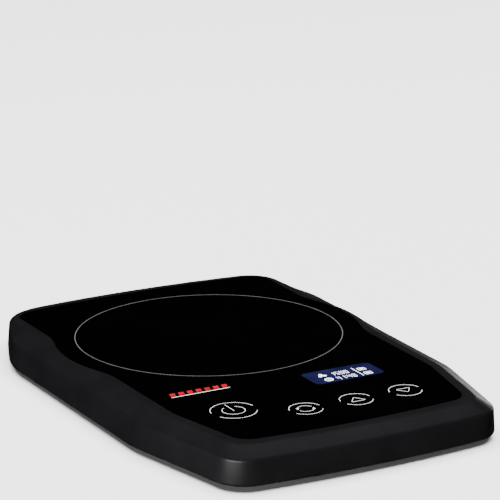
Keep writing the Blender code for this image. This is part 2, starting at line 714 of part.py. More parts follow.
def make_ribbon_cable():
    """The flat cable on the base, from one board's connector to the other's."""
    floor = BASE_TOP + GAP
    control = CONTROL_TOP + CABLE_IN_CONNECTOR
    power = POWER_TOP + CABLE_IN_CONNECTOR
    route = [(-41.2, control), (-37.0, control), (-33.0, floor + 1.5 * MM), (-29.0, floor), (74.0, floor),
             (78.0, floor + 0.8 * MM), (82.0, power - 0.4 * MM), (86.2, power)]
    bm = bmesh.new()
    rows = []
    for y, z in route:
        rows.append([bm.verts.new((CABLE_X + side * CABLE_WIDTH / 2, y * MM, z)) for side in (-1, 1)])
    for first, second in zip(rows, rows[1:]):
        bm.faces.new((first[0], first[1], second[1], second[0]))
    cable = add_object("ribbon_cable", mesh_from("ribbon_cable", bm), CABLE_GREY)
    thickness = cable.modifiers.new("thickness", "SOLIDIFY")
    thickness.thickness = CABLE_THICK
    thickness.offset = 1.0
    return cable


# ---------------------------------------------------------------- motor

def motor_screw_places():
    places = []
    for index in range(MOTOR_SCREW_COUNT):
        angle = math.pi / 2 + math.tau * index / MOTOR_SCREW_COUNT
        places.append((MOTOR_SCREW_CIRCLE * math.cos(angle), STIR_Y + MOTOR_SCREW_CIRCLE * math.sin(angle)))
    return places


def make_motor_plate():
    low, high = MOTOR_PLATE
    plate = turned("motor_plate", ring_profile(SLEEVE_R + GAP, MOTOR_PLATE_R, low, high), (0.0, STIR_Y), ZINC,
                   closed=True)
    for index, place in enumerate(motor_screw_places(), start=1):
        hole = cut_cylinder(f"motor_hole_{index}", place, SCREW_SHANK_R + GAP, low - MM, high + MM)
        boolean(plate, hole, "DIFFERENCE")
        screw_piece(f"motor_screw_{index}", place, high + GAP, MOTOR_SCREW_LENGTH, SCREW_SHANK_R, SCREW_HEAD_R,
                    SCREW_HEAD_H, ZINC, points_down=True)


def make_bearings():
    low, high = SLEEVE
    flange_low, flange_high, flange_r = SLEEVE_FLANGE
    profile = [(SLEEVE_R, high), (SLEEVE_R, flange_high), (flange_r, flange_high), (flange_r, flange_low),
               (SLEEVE_R, flange_low), (SLEEVE_R, low), (SLEEVE_BORE_R, low), (SLEEVE_BORE_R, high)]
    turned("bearing_sleeve", profile, (0.0, STIR_Y), BRASS, closed=True)
    for name, floor in BEARING_FLOORS.items():
        turned(name, ring_profile(SHAFT_R + GAP, BEARING_R, floor, floor + BEARING_H), (0.0, STIR_Y), STEEL,
               closed=True)


def arc_points(radius, start, end, steps):
    return [(radius * math.cos(start + (end - start) * k / steps),
             radius * math.sin(start + (end - start) * k / steps)) for k in range(steps + 1)]


def make_stator_core():
    """A toothed lamination stack: a hub, six narrow teeth and their wide tips."""
    low, high = STATOR
    outline = []
    neck = math.asin(TOOTH_WIDTH / 2 / STATOR_HUB_R)
    throat = math.asin(TOOTH_WIDTH / 2 / STATOR_TIP_R)
    for tooth in range(TEETH):
        angle = math.tau * tooth / TEETH
        outline += arc_points(STATOR_HUB_R, angle - math.pi / TEETH, angle - neck, 2)[1:]
        outline += arc_points(STATOR_TIP_R, angle - throat, angle - TIP_HALF_ANGLE, 1)
        outline += arc_points(STATOR_R, angle - TIP_HALF_ANGLE, angle + TIP_HALF_ANGLE, 5)
        outline += arc_points(STATOR_TIP_R, angle + TIP_HALF_ANGLE, angle + throat, 1)
        outline += arc_points(STATOR_HUB_R, angle + neck, angle + math.pi / TEETH, 2)
    curve = bpy.data.curves.new("stator_core", "CURVE")
    curve.dimensions = "2D"
    curve.fill_mode = "BOTH"
    curve.extrude = (high - low) / 2
    for points in (outline, arc_points(STATOR_HOLE_R, 0.0, math.tau, ROUND_STEPS)[:-1]):
        spline = curve.splines.new("POLY")
        spline.points.add(len(points) - 1)
        for control, (x, y) in zip(spline.points, points):
            control.co = (x, y, 0.0, 1.0)
        spline.use_cyclic_u = True
    core = add_object("stator_core", curve, LAMINATION)
    core.location = (0.0, STIR_Y, (low + high) / 2)


def make_coils():
    low, high = STATOR
    inner, outer = COIL_SPAN
    length = outer - inner
    clear_width = TOOTH_WIDTH + 2 * GAP
    clear_height = high - low + 2 * GAP
    for index in range(TEETH):
        angle = math.tau * index / TEETH
        centre = (inner + outer) / 2
        at = (centre * math.cos(angle), STIR_Y + centre * math.sin(angle), (low + high) / 2)
        size = (length, clear_width + 2 * COIL_WIRE, clear_height + 2 * COIL_WIRE)
        coil = add_object(f"stator_coil_{index + 1}", box_mesh("coil", size), COPPER)
        coil.location = at
        coil.rotation_euler = (0, 0, angle)
        hole = cut_box(f"coil_hole_{index + 1}", (length * 2, clear_width, clear_height), at)
        hole.rotation_euler = (0, 0, angle)
        boolean(coil, hole, "DIFFERENCE")


# ---------------------------------------------------------------- rotor

def on_axis(obj, axis):
    obj.parent = axis
    obj.location = (obj.location.x, obj.location.y - STIR_Y, obj.location.z)


def make_rotor():
    """Everything that spins, parented to an empty on the stirring axis."""
    axis = bpy.data.objects.new("stirring_axis", None)
    PARTS.objects.link(axis)
    axis.location = (0.0, STIR_Y, 0.0)
    here = (0.0, STIR_Y)
    low, high = SHAFT
    shaft = turned("rotor_shaft", [(0.0, high), (SHAFT_R - SMALL_EDGE, high), (SHAFT_R, high - SMALL_EDGE),
                                   (SHAFT_R, low), (0.0, low)], here, STEEL, steps=SMALL_STEPS)
    cup_low, cup_high = CUP
    hub_r, hub_low = CUP_HUB
    roof = cup_high - CUP_TOP_THICK
    bore = SHAFT_R + GAP
    cup = turned("rotor_cup", [(CUP_R - CUP_EDGE, cup_high), (CUP_R, cup_high - CUP_EDGE), (CUP_R, cup_low),
                               (CUP_R - CUP_SKIRT, cup_low), (CUP_R - CUP_SKIRT, roof), (hub_r, roof),
                               (hub_r, hub_low), (bore, hub_low), (bore, cup_high)], here, ZINC, closed=True)
    ring = turned("rotor_ring_magnet", ring_profile(*MAGNET_RING), here, MAGNET, closed=True)
    inner, outer, floor, top = CARRIER
    carrier = turned("magnet_carrier", ring_profile(inner, outer, floor, top), here, CARRIER_WHITE, closed=True)
    pieces = [shaft, cup, ring, carrier]
    for name, side in (("drive_magnet_north", 1), ("drive_magnet_south", -1)):
        place = (side * DRIVE_MAGNET_CIRCLE, STIR_Y)
        pocket = cut_cylinder("pocket_" + name, place, DRIVE_MAGNET_R + GAP, floor + DRIVE_MAGNET_FLOOR,
                              top + MM, ROUND_STEPS)
        boolean(carrier, pocket, "DIFFERENCE")
        low = floor + DRIVE_MAGNET_FLOOR + GAP
        profile = [(0.0, top), (DRIVE_MAGNET_R - SMALL_EDGE, top), (DRIVE_MAGNET_R, top - SMALL_EDGE),
                   (DRIVE_MAGNET_R, low), (0.0, low)]
        pieces.append(turned(name, profile, place, MAGNET))
    for piece in pieces:
        on_axis(piece, axis)


make_top_housing()
make_glass_plate()
make_glass_gasket()
make_base_plate()
make_case_screws()
make_feet()
make_control_board()
make_display()
make_touch_pads()
make_power_board()
make_dc_jack()
make_ribbon_cable()
make_motor_plate()
make_bearings()
make_stator_core()
make_coils()
make_rotor()
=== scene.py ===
"""The looks of a slim glass-topped magnetic stirrer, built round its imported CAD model.

Metres, in the model's own frame: +Z up, the controls at -Y, the stirring axis upright through the
printed ring. The plan outlines are given in millimetres from that axis, as the CAD gives them.
"""

import json
import math
from collections import namedtuple

import bmesh
import bpy
from mathutils import Matrix, Vector


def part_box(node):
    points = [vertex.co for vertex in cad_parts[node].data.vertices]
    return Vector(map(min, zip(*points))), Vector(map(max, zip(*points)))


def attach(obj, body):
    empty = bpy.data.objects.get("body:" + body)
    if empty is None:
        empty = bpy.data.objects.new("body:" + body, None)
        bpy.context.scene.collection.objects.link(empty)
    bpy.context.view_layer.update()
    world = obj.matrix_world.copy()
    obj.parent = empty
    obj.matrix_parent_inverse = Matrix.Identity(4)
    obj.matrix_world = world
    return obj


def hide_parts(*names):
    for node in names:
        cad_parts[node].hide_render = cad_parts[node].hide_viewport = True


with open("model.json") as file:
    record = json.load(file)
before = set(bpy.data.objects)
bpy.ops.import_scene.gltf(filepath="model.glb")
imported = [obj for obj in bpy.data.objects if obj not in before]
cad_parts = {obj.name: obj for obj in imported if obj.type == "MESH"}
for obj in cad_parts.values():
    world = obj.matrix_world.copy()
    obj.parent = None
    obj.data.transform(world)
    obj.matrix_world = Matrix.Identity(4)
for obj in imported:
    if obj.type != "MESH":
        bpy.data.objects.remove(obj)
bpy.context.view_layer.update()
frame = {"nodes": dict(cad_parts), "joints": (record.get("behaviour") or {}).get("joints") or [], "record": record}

MM = 0.001
NODES = frame["nodes"]
STIR = Vector(frame["joints"][0]["pos_m"])
GAP = 0.3 * MM

# Levels, from the CAD
GLASS_LOW, GLASS_HIGH = (corner.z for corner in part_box("glass_plate"))
CASE_LOW, _ = (corner.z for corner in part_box("top_housing"))
BASE_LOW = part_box("base_plate")[0].z
FOOT_LOW, FOOT_HIGH = (corner.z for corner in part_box("foot_front_left"))

# The case: what its edges look like up close
INK = 0.04 * MM
GLASS_FACE = GLASS_HIGH - INK
BASE_THICK = 2.2 * MM
GASKET_THICK = 0.6 * MM
LEDGE_THICK = 1.6 * MM
LEDGE_WIDTH = 5.0 * MM
POCKET_WALL = 1.9 * MM
POCKET_GAP = 0.18 * MM
RIM_DROP = 0.4 * MM
RIM_DROP_AT_SWELL = 1.05 * MM
SWELL_DROP_GAIN = 1.3
SHOULDER_DROP = 3.9 * MM
INNER_FLARE = 0.45 * MM
WALL_THICK = 2.2 * MM
BOTTOM_ROUND = 1.2 * MM
LIP_ROUND = 0.35 * MM
RIM_ROUND = 0.9 * MM
SHOULDER_ROUND = 1.1 * MM
GLASS_BEVEL = 0.45 * MM
BASE_EDGE = 0.5 * MM
RIM_INSET = 0.4 * MM
FORM_SHARP = 35
CURVED_SHARP = 32
FLAT_SHARP = 20
ALONG_SLACK = 1e-3

# Studs, wells, seats and vents
BOSS_R = 3.2 * MM
BOSS_TOP = 14.9 * MM
BOSS_HOLE_R = 1.5 * MM
BOSS_HOLE_TOP = 12.9 * MM
BOARD_STUD_R = 2.7 * MM
BOARD_PILOT_R = 1.3 * MM
PILOT_FLOOR = 0.8 * MM
SEAT_R = 7.3 * MM
COLLAR_R = 8.6 * MM
COLLAR_ROOT_R = 8.9 * MM
COLLAR_SINK = 0.2 * MM
WELL_R = 2.7 * MM
WELL_MOUTH_R = 3.0 * MM
WELL_MOUTH = 0.3 * MM
WELL_DEPTH = 1.5 * MM
VENT_COUNT = 4
VENT_X, VENT_PITCH = 44.0, 5.0
VENT_HALF_WIDTH, VENT_HALF_LENGTH, VENT_ROUND = 1.0, 13.0, 0.99

# Feet: radii from the rim in to the groove, and how far each edge is rounded
FOOT_R, FOOT_LOW_R = 7.0, 6.7
FOOT_STEP_DOWN = 0.2 * MM
GROOVE = ((4.7, 4.5), (3.4, 3.2))
GROOVE_DEPTH = 0.4 * MM
FOOT_ROUNDS = [0.3 * MM, 0.2 * MM, 0.7 * MM, 0.3 * MM, 0.15 * MM, 0.15 * MM, 0.3 * MM]

# Case screws
SCREW_COUNT = 6
SCREW_HEAD_R = 2.4 * MM
SCREW_CROWN_R = 1.75 * MM
SCREW_HEAD_H = 0.9 * MM
SCREW_NECK_R = 1.0 * MM
RIDGE_ROOT_R = 0.92 * MM
RIDGE_R = 1.2 * MM
RIDGE_PITCH = 0.5 * MM
RECESS_ARM, RECESS_HALF_WIDTH = 1.35, 0.33
RECESS_DEPTH = 0.55 * MM
SCREW_TURN = 23.0

# DC inlet
JACK_REAR = 113.4 * MM
JACK_WIDTH = 9.0 * MM
JACK_HIGH = 6.6 * MM
JACK_EDGE = 0.35 * MM
JACK_COLLAR_R = 3.7 * MM
JACK_HOLE_R = 4.0 * MM
JACK_BORE_R = 3.0 * MM
JACK_MOUTH_R = 3.25 * MM
JACK_BORE_DEPTH = 8.4 * MM
JACK_PIN_R = 1.0 * MM
JACK_PIN_NOSE = 0.6 * MM

FEET = ("foot_front_left", "foot_front_right", "foot_rear_left", "foot_rear_right")

Section = namedtuple("Section", "front front_corner front_round kink kink_round "
                     "rear_kink rear_kink_round rear_corner rear_round rear swell")
GLASS = Section(-134.0, (52.5, -130.9), 9.0, (61.6, -88.5), 30.0,
                (64.2, 50.0), 60.0, (64.5, 71.0), 9.5, 75.3, 69.2)
RIM = Section(-138.6, (56.6, -135.2), 10.0, (66.0, -88.8), 34.0,
              (68.4, 46.0), 60.0, (67.6, 74.2), 15.0, 79.0, 72.8)
SHOULDER = Section(-146.2, (61.6, -142.7), 13.0, (74.3, -84.0), 60.0,
                   (77.2, 44.0), 50.0, (61.6, 85.9), 26.0, 90.2, 0.0)
BOTTOM = Section(-146.4, (62.9, -142.8), 16.0, (76.5, -78.8), 40.0,
                 (78.8, 44.0), 50.0, (62.4, 86.3), 26.0, 90.4, 0.0)
SWELL_BLEND = 3.0
CORNER_STEPS = 14
CROWN_STEPS = 10
BOW_GAP = 2.0
SWELL_STEPS = 26
SWELL_HALF_ANGLE = math.radians(34)
STATION_GAP = math.radians(0.12)

# Prints on the glass, in millimetres from the stirring axis
RING_R = 60.0
RING_WIDTH = 0.38
KEY_STROKE = 0.25
KEYS = {"power": ((-38.7, -97.5), 9.7), "mode": ((-12.1, -110.4), 7.0),
        "up": ((11.7, -110.6), 7.0), "down": ((35.3, -110.9), 7.0)}
KEY_ARCS = ((9, 171), (209, 331))
POWER_R, POWER_ARC = 4.8, (118, 417)
POWER_STROKE = (7.8, 3.4, -0.4)
CYCLE_R = 3.5
CYCLE_STARTS, CYCLE_SHAFT, CYCLE_ROOT, CYCLE_TIP = (20, 200), 132, 126, 160
HEAD_SPREAD = 0.34
ARROW_TIP, ARROW_BASE, ARROW_HALF_WIDTH = 2.5, 2.3, 3.4
ARROW_ROUND = 0.9
MARK_LEFT, MARK_LOW, MARK_HIGH = -53.6, -69.6, -66.2
MARK_COUNT, MARK_PITCH, MARK_WIDTH, MARK_LEAN, MARK_ROUND = 7, 4.05, 2.6, 0.9, 0.35
MARK_LINE_DROP, MARK_LINE_LENGTH, MARK_LINE_WIDTH = 1.3, 27, 0.5

# The display, in the same millimetres
WINDOW = (6.9, -86.7, 40.4, -70.9, 2.6)
WINDOW_SINK = 0.02 * MM
FIGURES_SINK = 0.01 * MM
UPPER_ROW, LOWER_ROW = -79.2, -85.0
DIGITS_LEFT, DIGIT_PITCH, DIGIT_WIDTH, DIGIT_HEIGHT, DIGIT_LINE = 18.6, 2.3, 1.25, 3.3, 0.24
COLON_X, COLON_YS, COLON_R, COLON_GAP = 22.9, (-82.4, -84.1), 0.22, 0.7
STIR_SYMBOL_AT, CLOCK_SYMBOL_AT = (14.4, -77.1), (14.6, -83.0)
DIVIDER = (30.1, -85.5, 30.4, -74.6, 0.14)
BOX_LEFT, BOX_RIGHT, BOX_RISE, BOX_HEIGHT, BOX_ROUND, BOX_LINE = 31.8, 35.4, 0.1, 3.2, 0.6, 0.35
BOX_FILL = (32.8, 1.1, 34.4, 2.2, 0.3)

# Studio: each light's name, azimuth, elevation, distance, size, power and whether gloss shows it
LIGHTS = (("overhead", 0.0, 88.0, 2.6, (3.4, 3.4), 430.0, False),
          ("rear_softbox", 146.0, 62.0, 1.8, (1.6, 0.45), 2.0, True),
          ("left_softbox", -66.0, 2.7, 1.3, (1.15, 0.12), 29.0, True),
          ("right_softbox", 122.0, 2.7, 1.3, (0.5, 0.12), 2.5, True))
WORLD_STRENGTH = 0.001
BACKDROP_STRENGTH = 2.0
FLOOR_HALF = 14.0
CAMERA_AZIMUTH, CAMERA_ELEVATION, CAMERA_ROLL = (math.radians(angle) for angle in (-27.91, 15.76, -0.68))
CAMERA_AT = (-0.48854, -0.93472, 0.36121)
CAMERA_LENS = 181.6
CAMERA_SENSOR = 36.0


# ---------------------------------------------------------------- materials

def new_material(name):
    material = bpy.data.materials.new(name)
    material.use_nodes = True
    return material, material.node_tree.nodes["Principled BSDF"]


def add_node(material, kind, **settings):
    node = material.node_tree.nodes.new(kind)
    for key, value in settings.items():
        if key.startswith("in_"):
            node.inputs[key[3:].replace("_", " ")].default_value = value
        else:
            setattr(node, key, value)
    return node


def link(material, source, output, target, socket):
    material.node_tree.links.new(source.outputs[output], target.inputs[socket])


def noise(material, scale, detail=3.0, stretch=(1.0, 1.0, 1.0)):
    """Noise in object space, in features per metre, stretched along an axis by a scale below 1."""
    place = add_node(material, "ShaderNodeTexCoord")
    mapping = add_node(material, "ShaderNodeMapping")
    mapping.inputs["Scale"].default_value = stretch
    texture = add_node(material, "ShaderNodeTexNoise", in_Scale=scale, in_Detail=detail)
    link(material, place, "Object", mapping, "Vector")
    link(material, mapping, "Vector", texture, "Vector")
    return texture


def ramp(material, source, output, dark, light, low=0.35, high=0.65):
    """A colour that follows a texture between two shades."""
    node = add_node(material, "ShaderNodeValToRGB")
    node.color_ramp.elements[0].position = low
    node.color_ramp.elements[0].color = (*dark, 1.0)
    node.color_ramp.elements[1].position = high
    node.color_ramp.elements[1].color = (*light, 1.0)
    link(material, source, output, node, "Fac")
    return node


def vary(material, source, output, low, high):
    node = add_node(material, "ShaderNodeMapRange", in_From_Min=0.3, in_From_Max=0.7,
                    in_To_Min=low, in_To_Max=high)
    link(material, source, output, node, "Value")
    return node


def bump(material, shader, source, output, strength, distance):
    node = add_node(material, "ShaderNodeBump", in_Strength=strength, in_Distance=distance)
    link(material, source, output, node, "Height")
    link(material, node, "Normal", shader, "Normal")


def grained(name, dark, light, roughness, grain, strength, depth, specular=0.5, metallic=0.0,
            patch=60.0, stretch=(1.0, 1.0, 1.0)):
    """A surface with a fine grain, and broad soft changes of shade and sheen."""
    material, shader = new_material(name)
    shader.inputs["Specular IOR Level"].default_value = specular
    shader.inputs["Metallic"].default_value = metallic
    broad = noise(material, patch, 4.0, stretch)
    fine = noise(material, grain, 2.0, stretch)
    colour = ramp(material, broad, "Fac", dark, light)
    link(material, colour, "Color", shader, "Base Color")
    sheen = vary(material, fine, "Fac", roughness[0], roughness[1])
    link(material, sheen, "Result", shader, "Roughness")
    bump(material, shader, fine, "Fac", strength, depth)
    return material


def make_case_plastic():
    return grained("case_black", (0.0032, 0.0031, 0.0037), (0.0041, 0.0040, 0.0047), (0.36, 0.44),
                   2600.0, 0.10, 0.00006, specular=0.24)


def make_glass():
    """Black-backed glass: a near mirror, with the faintest handling marks."""
    material, shader = new_material("glass_black")
    shader.inputs["IOR"].default_value = 1.5
    marks = noise(material, 38.0, 6.0)
    colour = ramp(material, marks, "Fac", (0.0002, 0.0002, 0.0003), (0.0004, 0.0004, 0.0005))
    link(material, colour, "Color", shader, "Base Color")
    sheen = vary(material, marks, "Fac", 0.02, 0.055)
    link(material, sheen, "Result", shader, "Roughness")
    return material


def make_ink(name, dark, light):
    return grained(name, dark, light, (0.42, 0.56), 5200.0, 0.12, 0.00002, specular=0.3, patch=260.0)


def make_display():
    """The lit panel: a faint pixel grid and an uneven backlight."""
    material, shader = new_material("display_blue")
    shader.inputs["Roughness"].default_value = 0.06
    place = add_node(material, "ShaderNodeTexCoord")
    glow = noise(material, 90.0, 2.0)
    shade = ramp(material, glow, "Fac", (0.0028, 0.0030, 0.018), (0.0078, 0.0080, 0.034), 0.3, 0.7)
    grid = add_node(material, "ShaderNodeTexBrick", in_Scale=1.0, in_Mortar_Size=0.00004,
                    in_Brick_Width=0.0003, in_Row_Height=0.0003, offset=0.0)
    grid.inputs["Color1"].default_value = (1.0, 1.0, 1.0, 1.0)
    grid.inputs["Color2"].default_value = (0.9, 0.9, 0.9, 1.0)
    grid.inputs["Mortar"].default_value = (0.55, 0.55, 0.55, 1.0)
    link(material, place, "Object", grid, "Vector")
    both = add_node(material, "ShaderNodeMix", data_type="RGBA", blend_type="MULTIPLY")
    both.inputs["Factor"].default_value = 1.0
    material.node_tree.links.new(shade.outputs["Color"], both.inputs[6])
    material.node_tree.links.new(grid.outputs["Color"], both.inputs[7])
    material.node_tree.links.new(both.outputs[2], shader.inputs["Base Color"])
    material.node_tree.links.new(both.outputs[2], shader.inputs["Emission Color"])
    shader.inputs["Emission Strength"].default_value = 0.9
    return material


def make_lit_figures():
    material, shader = new_material("display_light")
    glow = noise(material, 900.0, 2.0)
    shade = ramp(material, glow, "Fac", (0.80, 0.86, 1.0), (1.0, 1.0, 1.0))
    link(material, shade, "Color", shader, "Base Color")
    link(material, shade, "Color", shader, "Emission Color")
    shader.inputs["Emission Strength"].default_value = 1.1
    shader.inputs["Roughness"].default_value = 0.4
    return material


def make_metal(name, dark, light, roughness, stretch=(1.0, 1.0, 0.12), grain=2400.0):
    return grained(name, dark, light, roughness, grain, 0.25, 0.00003, metallic=1.0, patch=340.0,
                   stretch=stretch)


def make_board():
    """Solder mask over copper tracks: the tracks stand a little proud and show paler."""
    material, shader = new_material("board_green")
    place = add_node(material, "ShaderNodeTexCoord")
    cells = add_node(material, "ShaderNodeTexVoronoi", in_Scale=330.0, distance="MANHATTAN",
                     feature="DISTANCE_TO_EDGE")
    link(material, place, "Object", cells, "Vector")
    shade = ramp(material, cells, "Distance", (0.012, 0.150, 0.060), (0.005, 0.070, 0.028), 0.04, 0.07)
    link(material, shade, "Color", shader, "Base Color")
    relief = add_node(material, "ShaderNodeMapRange", in_From_Min=0.03, in_From_Max=0.08,
                      in_To_Min=1.0, in_To_Max=0.0)
    link(material, cells, "Distance", relief, "Value")
    bump(material, shader, relief, "Result", 0.4, 0.00004)
    shader.inputs["Roughness"].default_value = 0.32
    return material


def make_striped(name, dark, light, pitch, axis, roughness, metallic=0.0, depth=0.0001):
    """Even stripes along an axis: wire turns, stacked sheets or the cores of a flat cable."""
    material, shader = new_material(name)
    place = add_node(material, "ShaderNodeTexCoord")
    wave = add_node(material, "ShaderNodeTexWave", wave_type="BANDS", bands_direction=axis,
                    in_Scale=math.tau / 20 / pitch, in_Distortion=0.15)
    link(material, place, "Object", wave, "Vector")
    shade = ramp(material, wave, "Fac", dark, light, 0.1, 0.7)
    link(material, shade, "Color", shader, "Base Color")
    bump(material, shader, wave, "Fac", 0.8, depth)
    shader.inputs["Roughness"].default_value = roughness
    shader.inputs["Metallic"].default_value = metallic
    return material


CASE = make_case_plastic()
GLASS_LOOK = make_glass()
INK_WHITE = make_ink("print_white", (0.50, 0.50, 0.49), (0.62, 0.62, 0.61))
INK_GREY = make_ink("print_grey", (0.060, 0.060, 0.062), (0.088, 0.088, 0.090))
INK_RED = make_ink("print_red", (0.20, 0.002, 0.006), (0.27, 0.004, 0.010))
DISPLAY = make_display()
DISPLAY_LIGHT = make_lit_figures()
RUBBER = grained("rubber", (0.012, 0.012, 0.012), (0.022, 0.022, 0.022), (0.72, 0.92), 1500.0, 0.5, 0.00008)
FOAM = grained("foam", (0.022, 0.022, 0.025), (0.060, 0.060, 0.066), (0.85, 1.0), 1900.0, 1.0, 0.0002)
STEEL = make_metal("steel", (0.50, 0.50, 0.52), (0.66, 0.66, 0.68), (0.20, 0.36))
ZINC = make_metal("zinc", (0.46, 0.48, 0.52), (0.64, 0.65, 0.66), (0.26, 0.42), stretch=(1.0, 1.0, 1.0))
BRASS = make_metal("brass", (0.62, 0.44, 0.18), (0.80, 0.60, 0.29), (0.20, 0.34))
BOARD = make_board()
CHIP = grained("chip_black", (0.010, 0.010, 0.011), (0.018, 0.018, 0.020), (0.45, 0.62), 2600.0, 0.4, 0.00004)
CONNECTOR = grained("connector_white", (0.66, 0.64, 0.58), (0.78, 0.76, 0.70), (0.38, 0.52), 1600.0, 0.15,
                    0.00004)
CABLE = make_striped("cable_grey", (0.20, 0.20, 0.21), (0.50, 0.50, 0.52), 0.9 * MM, "X", 0.55)
COPPER = make_striped("copper", (0.42, 0.13, 0.045), (0.86, 0.40, 0.18), 0.35 * MM, "X", 0.3, 1.0)
LAMINATION = make_striped("lamination", (0.14, 0.14, 0.15), (0.40, 0.40, 0.42), 0.35 * MM, "Z", 0.4, 1.0)
MAGNET = make_metal("magnet", (0.42, 0.42, 0.44), (0.60, 0.60, 0.62), (0.12, 0.26), stretch=(1.0, 1.0, 1.0))
CARRIER = grained("carrier_white", (0.52, 0.52, 0.50), (0.64, 0.64, 0.62), (0.40, 0.55), 1400.0, 0.2, 0.00005)
LOOKS = {"case_black": CASE, "glass_black": GLASS_LOOK, "rubber": RUBBER, "foam": FOAM, "steel": STEEL,
         "zinc": ZINC, "brass": BRASS, "board_green": BOARD, "chip_black": CHIP, "connector_white": CONNECTOR,
         "display_blue": DISPLAY, "cable_grey": CABLE, "copper": COPPER, "lamination": LAMINATION,
         "magnet": MAGNET, "carrier_white": CARRIER, "print_white": INK_WHITE, "print_red": INK_RED}


def dress_cad_nodes():
    """Every carried-over node takes the finish of its own slot in the record."""
    for row in frame["record"]["subparts"]:
        mesh = NODES[row["node"]].data
        mesh.materials.clear()
        mesh.materials.append(LOOKS[row["material_slot"]])


# ---------------------------------------------------------------- pieces

def smooth(mesh, degrees):
    mesh.shade_smooth()
    mesh.set_sharp_from_angle(angle=math.radians(degrees))


def place_piece(name, bm, material, body="base", stands_for=()):
    """A finished piece on its body, with its material and the nodes that it stands for."""
    bmesh.ops.recalc_face_normals(bm, faces=bm.faces)
    mesh = bpy.data.meshes.new(name)
    bm.to_mesh(mesh)
    bm.free()
    mesh.materials.append(material)
    smooth(mesh, FORM_SHARP)
    obj = bpy.data.objects.new(name, mesh)
    bpy.context.scene.collection.objects.link(obj)
    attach(obj, body)
    if stands_for:
        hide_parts(*stands_for)
    return obj


def carve(obj, bm, operation):
    """Joins a shape to a piece, or cuts it away, and leaves only the finished mesh."""
    bmesh.ops.recalc_face_normals(bm, faces=bm.faces)
    tool_mesh = bpy.data.meshes.new("tool")
    bm.to_mesh(tool_mesh)
    bm.free()
    tool = bpy.data.objects.new("tool", tool_mesh)
    bpy.context.scene.collection.objects.link(tool)
    modifier = obj.modifiers.new("carve", "BOOLEAN")
    modifier.operation = operation
    modifier.object = tool
    modifier.solver = "EXACT"
    bpy.context.view_layer.update()
    evaluated = obj.evaluated_get(bpy.context.evaluated_depsgraph_get())
    result = bpy.data.meshes.new_from_object(evaluated)
    obj.modifiers.clear()
    obj.data = result
    bpy.data.objects.remove(tool)


def add_cylinder(bm, at, radius, low, high, steps=64, lying=False):
    """An upright cylinder between two levels, or one that lies along Y."""
    middle = (low + high) / 2
    if lying:
        spot = Matrix.Translation((at[0], middle, at[1])) @ Matrix.Rotation(math.pi / 2, 4, "X")
    else:
        spot = Matrix.Translation((at[0], at[1], middle))
    bmesh.ops.create_cone(bm, cap_ends=True, segments=steps, radius1=radius, radius2=radius,
                          depth=high - low, matrix=spot)


def soft_corner(start, corner, end, steps):
    """Points of the curve that leaves start and reaches end, drawn towards the corner."""
    shares = [step / steps for step in range(steps + 1)]
    return [start * (1 - t) ** 2 + corner * 2 * t * (1 - t) + end * t * t for t in shares]


def add_turned(bm, profile, matrix, steps=64):
    """A turned shape: (radius, height) points down its outer side, starting and ending on the axis."""
    loops = []
    for radius, height in profile:
        if radius == 0.0:
            loops.append([bm.verts.new(matrix @ Vector((0.0, 0.0, height)))])
            continue
        loops.append([bm.verts.new(matrix @ Vector((radius * math.cos(math.tau * k / steps),
                                                    radius * math.sin(math.tau * k / steps), height)))
                      for k in range(steps)])
    for first, second in zip(loops, loops[1:]):
        for k in range(steps):
            ring = [first[k % len(first)], first[(k + 1) % len(first)],
                    second[(k + 1) % len(second)], second[k % len(second)]]
            bm.faces.new(list(dict.fromkeys(ring)))


def rounded(profile, reaches, steps=4):
    """A profile whose inner corners are each replaced by a short curve that starts reach away."""
    points = [profile[0]]
    for before, corner, after, reach in zip(profile, profile[1:], profile[2:], reaches):
        if not reach:
            points.append(corner)
            continue
        corner_v = Vector(corner)
        into = Vector(before) - corner_v
        out = Vector(after) - corner_v
        start = corner_v + into * min(reach / into.length, 0.48)
        end = corner_v + out * min(reach / out.length, 0.48)
        points += [tuple(point) for point in soft_corner(start, corner_v, end, steps)]
    points.append(profile[-1])
    return points


# ---------------------------------------------------------------- plan outlines

def fillet(before, corner, after, radius):
    """Points of the arc that rounds the corner between its two neighbours."""
    into = (Vector(before) - Vector(corner)).normalized()
    out = (Vector(after) - Vector(corner)).normalized()
    half = into.angle(out) / 2
    centre = Vector(corner) + (into + out).normalized() * radius / math.sin(half)
    start = Vector(corner) + into * radius / math.tan(half) - centre
    end = Vector(corner) + out * radius / math.tan(half) - centre
    sweep = start.angle_signed(end)
    points = []
    for step in range(CORNER_STEPS + 1):
        turn = -sweep * step / CORNER_STEPS
        points.append((centre.x + start.x * math.cos(turn) - start.y * math.sin(turn),
                       centre.y + start.x * math.sin(turn) + start.y * math.cos(turn)))
    return points


def crown(middle, corner):
    """Points of the shallow bow of an end edge, from its middle out towards its corner."""
    shares = [step / (CROWN_STEPS + 1) for step in range(CROWN_STEPS + 1)]
    return [(corner[0] * share, middle + (corner[1] - middle) * share ** 2) for share in shares]


def bow_end(middle, corner, after, radius):
    """The point of an end's bow at which the rounding of its corner starts."""
    out = Vector(after) - Vector(corner)
    into = Vector((0.0, middle)) - Vector(corner)
    share = 1.0 - radius / math.tan(into.angle(out) / 2) / corner[0]
    return corner[0] * share, middle + (corner[1] - middle) * share ** 2


